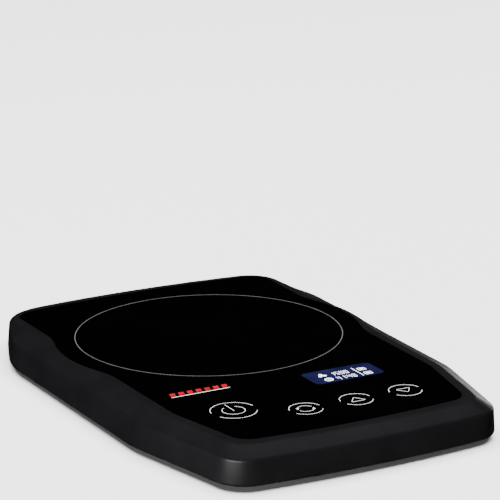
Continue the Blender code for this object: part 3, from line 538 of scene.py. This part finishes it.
def half_outline(section):
    """The +X half of a section as (x, y) in millimetres from the stirring axis, front to rear."""
    front_end = bow_end(section.front, section.front_corner, section.kink, section.front_round)
    rear_end = bow_end(section.rear, section.rear_corner, section.rear_kink, section.rear_round)
    corners = [front_end, section.front_corner, section.kink,
               section.rear_kink, section.rear_corner, rear_end]
    rounds = [section.front_round, section.kink_round, section.rear_kink_round, section.rear_round]
    points = []
    for index, radius in enumerate(rounds, start=1):
        points += fillet(corners[index - 1], corners[index], corners[index + 1], radius)
    front = crown(section.front, section.front_corner)
    front = [point for point in front if point[0] < points[0][0] - BOW_GAP]
    rear = crown(section.rear, section.rear_corner)
    rear = [point for point in rear if point[0] < points[-1][0] - BOW_GAP]
    return front + points + rear[::-1]


def reach(outline, bearing):
    """Distance from the stirring axis to the outline; bearing 0 looks to the front, pi to the rear."""
    way = Vector((math.sin(bearing), -math.cos(bearing)))
    for first, second in zip(outline, outline[1:]):
        edge = Vector(second) - Vector(first)
        cross = way.x * edge.y - way.y * edge.x
        if abs(cross) < 1e-9:
            continue
        along = (first[0] * way.y - first[1] * way.x) / cross
        if -ALONG_SLACK <= along <= 1.0 + ALONG_SLACK:
            distance = (first[0] * edge.y - first[1] * edge.x) / cross
            if distance > 0:
                return distance
    return Vector(outline[-1]).length


def smooth_max(first, second, blend):
    near = max(blend - abs(first - second), 0.0) / blend
    return max(first, second) + near * near * blend / 4


def find_bearings():
    """One set of bearings for every section, close together where any section turns."""
    found = {0.0, math.pi}
    for section in (GLASS, RIM, SHOULDER, BOTTOM):
        for x, y in half_outline(section):
            found.add(round(math.atan2(x, -y), 6))
    for step in range(-SWELL_STEPS, SWELL_STEPS + 1):
        found.add(math.pi / 2 + SWELL_HALF_ANGLE * step / SWELL_STEPS)
    kept = []
    for bearing in sorted(found):
        if not kept or bearing - kept[-1] > STATION_GAP:
            kept.append(bearing)
    kept[-1] = math.pi
    return kept


BEARINGS = find_bearings()


def section_ring(section, level, swell_drop=0.0):
    """The closed ring of points of a section, in the model's frame."""
    outline = half_outline(section)
    straight = [reach(outline, bearing) for bearing in BEARINGS]
    if section.swell:
        swollen = [smooth_max(distance, section.swell, SWELL_BLEND) for distance in straight]
    else:
        swollen = straight
    shares = [after - before for before, after in zip(straight, swollen)]
    deepest = max(shares) or 1.0
    half = []
    for bearing, distance, share in zip(BEARINGS, swollen, shares):
        drop = swell_drop * min(share / deepest * SWELL_DROP_GAIN, 1.0)
        half.append(Vector((math.sin(bearing) * distance * MM,
                            STIR.y - math.cos(bearing) * distance * MM, level - drop)))
    return half + [Vector((-p.x, p.y, p.z)) for p in half[-2:0:-1]]


def offset(ring, distance, level=None):
    """The ring moved outward in plan by a distance (inward if negative), and set to a level if given."""
    moved = []
    for index, point in enumerate(ring):
        before = ring[index - 1]
        after = ring[(index + 1) % len(ring)]
        along = Vector((after.x - before.x, after.y - before.y)).normalized()
        height = point.z if level is None else level
        moved.append(Vector((point.x + along.y * distance, point.y - along.x * distance, height)))
    return moved


def add_loft(bm, rings, closes_on_itself):
    """Faces between neighbouring rings; the ends are capped, or the last ring joins the first."""
    loops = [[bm.verts.new(point) for point in ring] for ring in rings]
    count = len(rings[0])
    pairs = list(zip(loops, loops[1:]))
    if closes_on_itself:
        pairs.append((loops[-1], loops[0]))
    for lower, upper in pairs:
        for index in range(count):
            after = (index + 1) % count
            bm.faces.new((lower[index], lower[after], upper[after], upper[index]))
    if not closes_on_itself:
        bm.faces.new(loops[0][::-1])
        bm.faces.new(loops[-1])


def round_edges(rings, reaches, steps=5):
    """Replaces each ring that has a reach by a run of rings that curve from one slope to the next."""
    count = len(rings)
    result = []
    for index, (ring, length) in enumerate(zip(rings, reaches)):
        if not length:
            result.append(ring)
            continue
        before = rings[index - 1]
        after = rings[(index + 1) % count]
        run = [[] for _ in range(steps + 1)]
        for corner, back, on in zip(ring, before, after):
            into = back - corner
            out = on - corner
            start = corner + into * min(length / into.length, 0.45)
            end = corner + out * min(length / out.length, 0.45)
            for part, point in zip(run, soft_corner(start, corner, end, steps)):
                part.append(point)
        result += run
    return result


GLASS_RING = section_ring(GLASS, GLASS_HIGH)
RIM_RING = section_ring(RIM, GLASS_HIGH - RIM_DROP, RIM_DROP_AT_SWELL - RIM_DROP)
SHOULDER_Z = GLASS_HIGH - SHOULDER_DROP
SHOULDER_RING = section_ring(SHOULDER, SHOULDER_Z)
BOTTOM_RING = section_ring(BOTTOM, CASE_LOW)
LEDGE_TOP = GLASS_LOW - GASKET_THICK - 2 * GAP


# ---------------------------------------------------------------- case

def case_screw_places():
    """The middles of the six case screws, from the CAD."""
    places = []
    for index in range(1, SCREW_COUNT + 1):
        low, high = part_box(f"case_screw_{index}")
        places.append(((low.x + high.x) / 2, (low.y + high.y) / 2))
    return places


def make_housing():
    """The moulded upper shell: glass pocket and ledge, rim, sloping shoulder and wall."""
    rings = [
        offset(GLASS_RING, -LEDGE_WIDTH, LEDGE_TOP),
        offset(GLASS_RING, POCKET_GAP, LEDGE_TOP),
        offset(GLASS_RING, POCKET_GAP, GLASS_HIGH),
        RIM_RING,
        SHOULDER_RING,
        BOTTOM_RING,
        offset(SHOULDER_RING, INNER_FLARE - WALL_THICK, CASE_LOW),
        offset(SHOULDER_RING, -WALL_THICK, SHOULDER_Z - WALL_THICK),
        offset(RIM_RING, -RIM_INSET, GLASS_LOW),
        offset(GLASS_RING, POCKET_WALL + GAP, GLASS_LOW - GAP),
        offset(GLASS_RING, POCKET_WALL + GAP, LEDGE_TOP - LEDGE_THICK),
        offset(GLASS_RING, -LEDGE_WIDTH, LEDGE_TOP - LEDGE_THICK),
    ]
    reaches = [0.0, 0.0, LIP_ROUND, RIM_ROUND, SHOULDER_ROUND, BOTTOM_ROUND, LIP_ROUND,
               0.0, 0.0, 0.0, 0.0, 0.0]
    bm = bmesh.new()
    add_loft(bm, round_edges(rings, reaches), True)
    housing = place_piece("housing_shell", bm, CASE, stands_for=["top_housing"])
    bosses = bmesh.new()
    holes = bmesh.new()
    base_top = BASE_LOW + BASE_THICK
    for place in case_screw_places():
        add_cylinder(bosses, place, BOSS_R, base_top + GAP, BOSS_TOP, 40)
        add_cylinder(holes, place, BOSS_HOLE_R, base_top - MM, BOSS_HOLE_TOP, 32)
    carve(housing, bosses, "UNION")
    carve(housing, holes, "DIFFERENCE")
    inlet = bmesh.new()
    low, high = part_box("dc_jack_body")
    centre = (0.0, (low.z + high.z) / 2)
    add_cylinder(inlet, centre, JACK_HOLE_R, high.y - 6 * MM, high.y + 4 * MM, 72, lying=True)
    carve(housing, inlet, "DIFFERENCE")
    smooth(housing.data, CURVED_SHARP)


def make_glass_top():
    """The plate itself: ground sides and a polished, softly broken top edge."""
    rings = [offset(GLASS_RING, -GLASS_BEVEL / 2, GLASS_LOW),
             offset(GLASS_RING, 0.0, GLASS_LOW + GLASS_BEVEL / 2),
             offset(GLASS_RING, 0.0, GLASS_FACE - GLASS_BEVEL),
             offset(GLASS_RING, -0.12 * GLASS_BEVEL, GLASS_FACE - 0.55 * GLASS_BEVEL),
             offset(GLASS_RING, -0.45 * GLASS_BEVEL, GLASS_FACE - 0.14 * GLASS_BEVEL),
             offset(GLASS_RING, -GLASS_BEVEL, GLASS_FACE),
             offset(GLASS_RING, -2 * GLASS_BEVEL, GLASS_FACE)]
    bm = bmesh.new()
    add_loft(bm, rings, False)
    place_piece("glass_top", bm, GLASS_LOOK, stands_for=["glass_plate"])


# ---------------------------------------------------------------- underside and rear

def plan_middle(node):
    low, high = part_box(node)
    return (low.x + high.x) / 2, (low.y + high.y) / 2


def upright(place, level=0.0):
    return Matrix.Translation((place[0], place[1], level))


def base_studs():
    """Each stud that stands on the base: its middle, radius, top and pilot hole radius."""
    kinds = (("control_screw_", 4, BOARD_STUD_R, BOARD_PILOT_R, "control_board"),
             ("power_screw_", 2, BOARD_STUD_R, BOARD_PILOT_R, "power_board"),
             ("motor_screw_", 3, BOSS_R, BOSS_HOLE_R, "motor_plate"))
    studs = []
    for prefix, count, radius, pilot, seat in kinds:
        for index in range(1, count + 1):
            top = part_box(seat)[0].z - GAP
            studs.append((plan_middle(f"{prefix}{index}"), radius, top, pilot))
    return studs


def make_base():
    """The flat cover that closes the case from below: studs inside, vents, screw wells and foot seats."""
    top = BASE_LOW + BASE_THICK
    outer = offset(SHOULDER_RING, INNER_FLARE - WALL_THICK - GAP)
    rings = [offset(outer, -BASE_EDGE, BASE_LOW),
             offset(outer, -0.3 * BASE_EDGE, BASE_LOW + 0.3 * BASE_EDGE),
             offset(outer, 0.0, BASE_LOW + BASE_EDGE),
             offset(outer, 0.0, top)]
    bm = bmesh.new()
    add_loft(bm, rings, False)
    base = place_piece("base_cover", bm, CASE, stands_for=["base_plate"])
    added = bmesh.new()
    removed = bmesh.new()
    for place, radius, high, pilot in base_studs():
        add_cylinder(added, place, radius, top - MM, high, 40)
        add_cylinder(removed, place, pilot, BASE_LOW + PILOT_FLOOR, high + MM, 24)
    for name in FEET:
        place = plan_middle(name)
        collar = [(0.0, CASE_LOW), (COLLAR_R, CASE_LOW), (COLLAR_ROOT_R, BASE_LOW + COLLAR_SINK),
                  (0.0, BASE_LOW + COLLAR_SINK)]
        add_turned(added, collar, upright(place), 72)
        seat = [(0.0, 0.0), (SEAT_R, 0.0), (SEAT_R, FOOT_HIGH + GAP), (0.0, FOOT_HIGH + GAP)]
        add_turned(removed, seat, upright(place), 72)
    for place in case_screw_places():
        well = [(0.0, 0.0), (WELL_MOUTH_R, 0.0), (WELL_R, BASE_LOW + WELL_MOUTH),
                (WELL_R, BASE_LOW + WELL_DEPTH), (BOSS_HOLE_R, BASE_LOW + WELL_DEPTH),
                (BOSS_HOLE_R, top + MM), (0.0, top + MM)]
        add_turned(removed, well, upright(place), 40)
    for side in (-1, 1):
        for index in range(VENT_COUNT):
            x = side * (VENT_X + VENT_PITCH * (index - (VENT_COUNT - 1) / 2))
            slot = round_box(x - VENT_HALF_WIDTH, -VENT_HALF_LENGTH, x + VENT_HALF_WIDTH, VENT_HALF_LENGTH,
                             VENT_ROUND)
            add_prism(removed, slot, BASE_LOW - MM, top + MM)
    carve(base, added, "UNION")
    carve(base, removed, "DIFFERENCE")
    smooth(base.data, FLAT_SHARP)


def make_feet():
    """Round rubber feet with a rolled edge and a groove underneath."""
    (outer, outer_floor), (inner_floor, inner) = GROOVE
    shape = [(0.0, FOOT_HIGH), (FOOT_R, FOOT_HIGH), (FOOT_R, BASE_LOW - FOOT_STEP_DOWN), (FOOT_LOW_R, 0.0),
             (outer, 0.0), (outer_floor, GROOVE_DEPTH), (inner_floor, GROOVE_DEPTH), (inner, 0.0), (0.0, 0.0)]
    shape = [(radius * MM, height) for radius, height in shape]
    profile = rounded(shape, FOOT_ROUNDS)
    for name in FEET:
        bm = bmesh.new()
        add_turned(bm, profile, upright(plan_middle(name)), 96)
        place_piece(name.replace("foot_", "rubber_foot_"), bm, RUBBER, stands_for=[name])


def make_case_screws():
    """Pan-headed screws with a cross recess and ridged shanks, driven up from below."""
    for number in range(1, SCREW_COUNT + 1):
        node = f"case_screw_{number}"
        low, high = (corner.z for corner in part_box(node))
        neck = low + SCREW_HEAD_H
        profile = [(0.0, high), (0.45 * MM, high), (1.15 * MM, high - 0.9 * MM)]
        level = high - 1.1 * MM
        while level > neck + 0.8 * MM:
            profile += [(RIDGE_ROOT_R, level), (RIDGE_R, level - RIDGE_PITCH / 2)]
            level -= RIDGE_PITCH
        profile += [(SCREW_NECK_R, neck + 0.3 * MM), (SCREW_NECK_R, neck), (SCREW_HEAD_R, neck),
                    (SCREW_HEAD_R, low + 0.42 * MM), (2.2 * MM, low + 0.18 * MM), (SCREW_CROWN_R, low),
                    (0.0, low)]
        place = plan_middle(node)
        bm = bmesh.new()
        add_turned(bm, profile, upright(place), 48)
        screw = place_piece(f"pan_screw_{number}", bm, ZINC, stands_for=[node])
        recess = bmesh.new()
        x, y = place[0] / MM, (place[1] - STIR.y) / MM
        arm, half = RECESS_ARM, RECESS_HALF_WIDTH
        plus = [(half, half), (half, arm), (-half, arm), (-half, half), (-arm, half), (-arm, -half),
                (-half, -half), (-half, -arm), (half, -arm), (half, -half), (arm, -half), (arm, half)]
        turn = Matrix.Rotation(math.radians(SCREW_TURN * number), 2)
        outline = [tuple(turn @ Vector(point) + Vector((x, y))) for point in plus]
        add_prism(recess, outline, low - 0.3 * MM, low + RECESS_DEPTH)
        carve(screw, recess, "DIFFERENCE")
        smooth(screw.data, CURVED_SHARP)


def make_dc_inlet():
    """The socket body behind the wall, its collar through the wall and its centre pin."""
    low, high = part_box("dc_jack_body")
    axis_z = (low.z + high.z) / 2
    rearward = Matrix.Translation((0.0, 0.0, axis_z)) @ Matrix.Rotation(-math.pi / 2, 4, "X")
    rear = JACK_REAR
    face = high.y
    bm = bmesh.new()
    size = Matrix.Diagonal((JACK_WIDTH, rear - low.y, JACK_HIGH, 1.0))
    middle = Matrix.Translation((0.0, (rear + low.y) / 2, axis_z))
    bmesh.ops.create_cube(bm, size=1.0, matrix=middle @ size)
    bmesh.ops.bevel(bm, geom=bm.edges[:], offset=JACK_EDGE, segments=3, affect="EDGES")
    body = place_piece("dc_inlet_body", bm, CHIP, stands_for=["dc_jack_body"])
    collar = bmesh.new()
    bore = bmesh.new()
    outside = [(0.0, rear - 0.5 * MM), (JACK_COLLAR_R, rear - 0.5 * MM), (JACK_COLLAR_R, face), (0.0, face)]
    add_turned(collar, rounded(outside, [0.0, 0.3 * MM]), rearward, 72)
    floor = face - JACK_BORE_DEPTH
    inside = [(0.0, floor), (JACK_BORE_R, floor), (JACK_BORE_R, face - JACK_EDGE),
              (JACK_MOUTH_R, face + 0.1 * MM), (JACK_MOUTH_R, face + MM), (0.0, face + MM)]
    add_turned(bore, inside, rearward, 72)
    carve(body, collar, "UNION")
    carve(body, bore, "DIFFERENCE")
    smooth(body.data, CURVED_SHARP)
    root, tip = (corner.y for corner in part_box("dc_jack_pin"))
    shape = [(0.0, root), (JACK_PIN_R, root), (JACK_PIN_R, tip), (0.0, tip)]
    pin = bmesh.new()
    add_turned(pin, rounded(shape, [0.0, JACK_PIN_NOSE], 6), rearward, 40)
    place_piece("dc_inlet_pin", pin, BRASS, stands_for=["dc_jack_pin"])


# ---------------------------------------------------------------- prints on the glass

def on_glass(points):
    """Millimetres from the stirring axis to the model's own frame."""
    return [(x * MM, STIR.y + y * MM) for x, y in points]


def arc(centre, radius, start, end, steps=40):
    """Points along an arc; degrees, from +X towards +Y."""
    angles = [math.radians(start + (end - start) * k / steps) for k in range(steps + 1)]
    return [(centre[0] + radius * math.cos(a), centre[1] + radius * math.sin(a)) for a in angles]


def add_prism(bm, outline, low, high):
    lower = [bm.verts.new((x, y, low)) for x, y in on_glass(outline)]
    upper = [bm.verts.new((x, y, high)) for x, y in on_glass(outline)]
    count = len(outline)
    bm.faces.new(lower[::-1])
    bm.faces.new(upper)
    for index in range(count):
        after = (index + 1) % count
        bm.faces.new((lower[index], lower[after], upper[after], upper[index]))


def add_band(bm, outer, inner, low, high):
    """A closed flat band between two outlines of the same count."""
    loops = [[bm.verts.new((x, y, level)) for x, y in on_glass(outline)]
             for outline, level in ((outer, low), (outer, high), (inner, high), (inner, low))]
    count = len(outer)
    for first, second in zip(loops, loops[1:] + loops[:1]):
        for index in range(count):
            after = (index + 1) % count
            bm.faces.new((first[index], first[after], second[after], second[index]))


def stroke(path, width):
    """The outline of a line of one width with round ends."""
    half = width / 2
    left, right = [], []
    for index, point in enumerate(path):
        before = Vector(path[max(index - 1, 0)])
        after = Vector(path[min(index + 1, len(path) - 1)])
        along = (after - before).normalized()
        side = Vector((-along.y, along.x)) * half
        left.append(tuple(Vector(point) + side))
        right.append(tuple(Vector(point) - side))
    first = Vector(path[0]) - Vector(path[1])
    last = Vector(path[-1]) - Vector(path[-2])
    turn_end = math.degrees(math.atan2(last.y, last.x))
    turn_start = math.degrees(math.atan2(first.y, first.x))
    end_cap = arc(path[-1], half, turn_end + 90, turn_end - 90, 8)[1:-1]
    start_cap = arc(path[0], half, turn_start + 90, turn_start - 90, 8)[1:-1]
    return left + end_cap + right[::-1] + start_cap


def parallel(outline, distance):
    """A closed outline moved outward by a distance, with mitred corners; the outline runs anticlockwise."""
    moved = []
    for index, point in enumerate(outline):
        here = Vector(point)
        into = (here - Vector(outline[index - 1])).normalized()
        out = (Vector(outline[(index + 1) % len(outline)]) - here).normalized()
        normal = Vector((into.y, -into.x)) + Vector((out.y, -out.x))
        moved.append(tuple(here + normal * distance / (normal.length_squared / 2)))
    return moved


def round_box(left, low, right, high, radius, steps=8):
    """A rounded rectangle, anticlockwise."""
    points = []
    for x, y, start in ((right - radius, high - radius, 0), (left + radius, high - radius, 90),
                        (left + radius, low + radius, 180), (right - radius, low + radius, 270)):
        points += arc((x, y), radius, start, start + 90, steps)
    return points


def round_corners(outline, radius, steps=5):
    """A closed outline with each corner replaced by a small curve."""
    points = []
    for index, corner in enumerate(outline):
        here = Vector(corner)
        into = Vector(outline[index - 1]) - here
        out = Vector(outline[(index + 1) % len(outline)]) - here
        start = here + into.normalized() * radius
        end = here + out.normalized() * radius
        points += [tuple(point) for point in soft_corner(start, here, end, steps)]
    return points


def make_stir_ring():
    bm = bmesh.new()
    outer = arc((0, 0), RING_R + RING_WIDTH / 2, 0, 360, 360)[:-1]
    inner = arc((0, 0), RING_R - RING_WIDTH / 2, 0, 360, 360)[:-1]
    add_band(bm, outer, inner, GLASS_FACE, GLASS_HIGH)
    place_piece("stir_ring_print", bm, INK_GREY)


def add_key_outline(bm, centre, radius):
    """The broken circle round a key: a long arc behind and a shorter one in front."""
    for start, end in KEY_ARCS:
        add_prism(bm, stroke(arc(centre, radius, start, end, 64), KEY_STROKE), GLASS_FACE, GLASS_HIGH)


def make_key_prints():
    for name, (centre, radius) in KEYS.items():
        bm = bmesh.new()
        add_key_outline(bm, centre, radius)
        x, y = centre
        if name == "power":
            add_prism(bm, stroke(arc(centre, POWER_R, *POWER_ARC, 72), KEY_STROKE), GLASS_FACE, GLASS_HIGH)
            upstroke = [(x, y + rise) for rise in POWER_STROKE]
            add_prism(bm, stroke(upstroke, KEY_STROKE), GLASS_FACE, GLASS_HIGH)
        elif name == "mode":
            add_cycle_mark(bm, centre)
        else:
            way = 1.0 if name == "up" else -1.0
            base_y = y - way * ARROW_BASE
            across = way * ARROW_HALF_WIDTH
            triangle = [(x, y + way * ARROW_TIP), (x - across, base_y), (x + across, base_y)]
            outline = round_corners(triangle, ARROW_ROUND)
            add_band(bm, parallel(outline, KEY_STROKE / 2), parallel(outline, -KEY_STROKE / 2),
                     GLASS_FACE, GLASS_HIGH)
        place_piece(f"{name}_key_print", bm, INK_WHITE)


def add_cycle_mark(bm, centre):
    """Two curved arrows that chase each other."""
    for start in CYCLE_STARTS:
        shaft = arc(centre, CYCLE_R, start, start + CYCLE_SHAFT, 28)
        add_prism(bm, stroke(shaft, KEY_STROKE), GLASS_FACE, GLASS_HIGH)
        tip = Vector(arc(centre, CYCLE_R, start + CYCLE_TIP, start + CYCLE_TIP, 1)[0])
        root = Vector(arc(centre, CYCLE_R, start + CYCLE_ROOT, start + CYCLE_ROOT, 1)[0])
        along = tip - root
        side = Vector((-along.y, along.x)) * HEAD_SPREAD
        add_prism(bm, [tuple(root - side), tuple(tip), tuple(root + side)], GLASS_FACE, GLASS_HIGH)


def make_mark():
    """A plain row of slanted red bars over a fine white line."""
    red = bmesh.new()
    white = bmesh.new()
    for index in range(MARK_COUNT):
        left = MARK_LEFT + MARK_PITCH * index
        right = left + MARK_WIDTH
        outline = [(left, MARK_LOW), (right, MARK_LOW), (right + MARK_LEAN, MARK_HIGH),
                   (left + MARK_LEAN, MARK_HIGH)]
        add_prism(red, round_corners(outline, MARK_ROUND), GLASS_FACE, GLASS_HIGH)
    level = MARK_LOW - MARK_LINE_DROP
    line = [(MARK_LEFT, level), (MARK_LEFT + 13, level), (MARK_LEFT + MARK_LINE_LENGTH, level)]
    add_prism(white, stroke(line, MARK_LINE_WIDTH), GLASS_FACE, GLASS_HIGH)
    place_piece("mark_red_print", red, INK_RED)
    place_piece("mark_white_print", white, INK_WHITE)


SEGMENTS = {"0": "abcdef", "1": "bc", "4": "bcfg", "5": "acdfg", "8": "abcdefg"}


def add_digit(bm, digit, left, low, z):
    """One seven-segment figure."""
    middle = low + DIGIT_HEIGHT / 2
    top = low + DIGIT_HEIGHT
    right = left + DIGIT_WIDTH
    half = DIGIT_LINE / 2
    ends = {"a": ((left, top), (right, top)), "b": ((right, middle), (right, top)),
            "c": ((right, low), (right, middle)), "d": ((left, low), (right, low)),
            "e": ((left, low), (left, middle)), "f": ((left, middle), (left, top)),
            "g": ((left, middle), (right, middle))}
    for segment in SEGMENTS[digit]:
        (x0, y0), (x1, y1) = ends[segment]
        add_prism(bm, round_box(min(x0, x1) - half, min(y0, y1) - half, max(x0, x1) + half,
                                max(y0, y1) + half, half * 0.8, 3), *z)


def make_display_print():
    """The display window and the figures lit on it."""
    high = GLASS_HIGH - WINDOW_SINK
    window = bmesh.new()
    add_prism(window, round_box(*WINDOW), GLASS_FACE - WINDOW_SINK, high)
    place_piece("display_window", window, DISPLAY)
    lit = bmesh.new()
    z = (high - FIGURES_SINK, GLASS_HIGH)
    for row, text in ((UPPER_ROW, "1500"), (LOWER_ROW, "4148")):
        for index, digit in enumerate(text):
            gap = COLON_GAP if row == LOWER_ROW and index > 1 else 0.0
            add_digit(lit, digit, DIGITS_LEFT + DIGIT_PITCH * index + gap, row, z)
    for y in COLON_YS:
        add_prism(lit, arc((COLON_X, y), COLON_R, 0, 360, 12)[:-1], *z)
    add_stir_symbol(lit, STIR_SYMBOL_AT, z)
    add_clock_symbol(lit, CLOCK_SYMBOL_AT, z)
    add_prism(lit, round_box(*DIVIDER), *z)
    fill_left, fill_rise, fill_right, fill_height, fill_round = BOX_FILL
    for row in (UPPER_ROW, LOWER_ROW):
        outline = round_box(BOX_LEFT, row + BOX_RISE, BOX_RIGHT, row + BOX_HEIGHT, BOX_ROUND)
        add_band(lit, outline, parallel(outline, -BOX_LINE), *z)
        add_prism(lit, round_box(fill_left, row + fill_rise, fill_right, row + fill_height, fill_round), *z)
    place_piece("display_figures", lit, DISPLAY_LIGHT)


def add_stir_symbol(bm, centre, z):
    """A small three-bladed propeller."""
    for blade in range(3):
        angle = 90 + 120 * blade
        tip = arc(centre, 1.25, angle, angle, 1)[0]
        add_prism(bm, arc(tip, 0.85, 0, 360, 20)[:-1], *z)
        add_prism(bm, stroke([centre, tuple((Vector(centre) + Vector(tip)) / 2), tip], 0.6), *z)


def add_clock_symbol(bm, centre, z):
    """A dial with two hands."""
    outer = arc(centre, 1.95, 0, 360, 40)[:-1]
    inner = arc(centre, 1.3, 0, 360, 40)[:-1]
    add_band(bm, outer, inner, *z)
    add_prism(bm, stroke([(centre[0], centre[1] + 0.95), (centre[0], centre[1] + 0.4), centre], 0.4), *z)
    add_prism(bm, stroke([centre, (centre[0] + 0.4, centre[1]), (centre[0] + 0.75, centre[1])], 0.4), *z)


# ---------------------------------------------------------------- stage

def sphere_place(azimuth, elevation, distance, centre):
    """A place at a distance from the centre; azimuth 0 is the front, and 90 is the right-hand side."""
    a = math.radians(azimuth)
    e = math.radians(elevation)
    way = Vector((math.sin(a) * math.cos(e), -math.cos(a) * math.cos(e), math.sin(e)))
    return Vector(centre) + way * distance


def add_area(name, azimuth, elevation, distance, size, power, glossy):
    """A rectangular soft light that looks at the object's middle."""
    centre = Vector((0.0, 0.0, 0.01))
    lamp = bpy.data.lights.new(name, "AREA")
    lamp.shape = "RECTANGLE"
    lamp.size, lamp.size_y = size
    lamp.energy = power
    obj = bpy.data.objects.new(name, lamp)
    obj.location = sphere_place(azimuth, elevation, distance, centre)
    obj.rotation_euler = (centre - obj.location).to_track_quat("-Z", "Y").to_euler()
    obj.visible_glossy = glossy
    obj.visible_camera = False
    bpy.context.scene.collection.objects.link(obj)


def make_stage():
    """The pale floor, which gloss doesn't mirror."""
    bm = bmesh.new()
    bmesh.ops.create_grid(bm, x_segments=1, y_segments=1, size=FLOOR_HALF)
    mesh = bpy.data.meshes.new("floor")
    bm.to_mesh(mesh)
    bm.free()
    floor = bpy.data.objects.new("floor", mesh)
    floor.location = (0.0, 0.0, FOOT_LOW)
    bpy.context.scene.collection.objects.link(floor)
    material, shader = new_material("floor_white")
    shader.inputs["Base Color"].default_value = (0.86, 0.86, 0.865, 1.0)
    shader.inputs["Roughness"].default_value = 0.95
    shader.inputs["Specular IOR Level"].default_value = 0.1
    mesh.materials.append(material)
    floor.visible_glossy = False


def make_lights():
    """Soft lights, and a world that is dark to everything but the camera, which sees a pale backdrop."""
    for light in LIGHTS:
        add_area(*light)
    world = bpy.data.worlds.new("studio")
    world.use_nodes = True
    bpy.context.scene.world = world
    nodes = world.node_tree.nodes
    links = world.node_tree.links
    background = nodes["Background"]
    background.inputs["Color"].default_value = (0.9, 0.92, 0.95, 1.0)
    background.inputs["Strength"].default_value = WORLD_STRENGTH
    backdrop = nodes.new("ShaderNodeBackground")
    backdrop.inputs["Color"].default_value = (0.90, 0.90, 0.90, 1.0)
    backdrop.inputs["Strength"].default_value = BACKDROP_STRENGTH
    path = nodes.new("ShaderNodeLightPath")
    mix = nodes.new("ShaderNodeMixShader")
    links.new(path.outputs["Is Camera Ray"], mix.inputs[0])
    links.new(background.outputs["Background"], mix.inputs[1])
    links.new(backdrop.outputs["Background"], mix.inputs[2])
    links.new(mix.outputs["Shader"], nodes["World Output"].inputs["Surface"])


def make_camera():
    """A long lens just left of the front, a little above the plate."""
    back = Vector((math.sin(CAMERA_AZIMUTH) * math.cos(CAMERA_ELEVATION),
                   -math.cos(CAMERA_AZIMUTH) * math.cos(CAMERA_ELEVATION), math.sin(CAMERA_ELEVATION)))
    right = Vector((math.cos(CAMERA_AZIMUTH), math.sin(CAMERA_AZIMUTH), 0.0))
    level_up = back.cross(right)
    across = right * math.cos(CAMERA_ROLL) + level_up * math.sin(CAMERA_ROLL)
    up = level_up * math.cos(CAMERA_ROLL) - right * math.sin(CAMERA_ROLL)
    data = bpy.data.cameras.new("camera")
    data.sensor_width = CAMERA_SENSOR
    data.lens = CAMERA_LENS
    data.dof.use_dof = False
    camera = bpy.data.objects.new("camera", data)
    turn = Matrix((across, up, back)).transposed().to_4x4()
    camera.matrix_world = Matrix.Translation(CAMERA_AT) @ turn
    bpy.context.scene.collection.objects.link(camera)
    bpy.context.scene.camera = camera


dress_cad_nodes()
make_housing()
make_glass_top()
make_base()
make_feet()
make_case_screws()
make_dc_inlet()
make_stir_ring()
make_key_prints()
make_mark()
make_display_print()
make_stage()
make_lights()
make_camera()
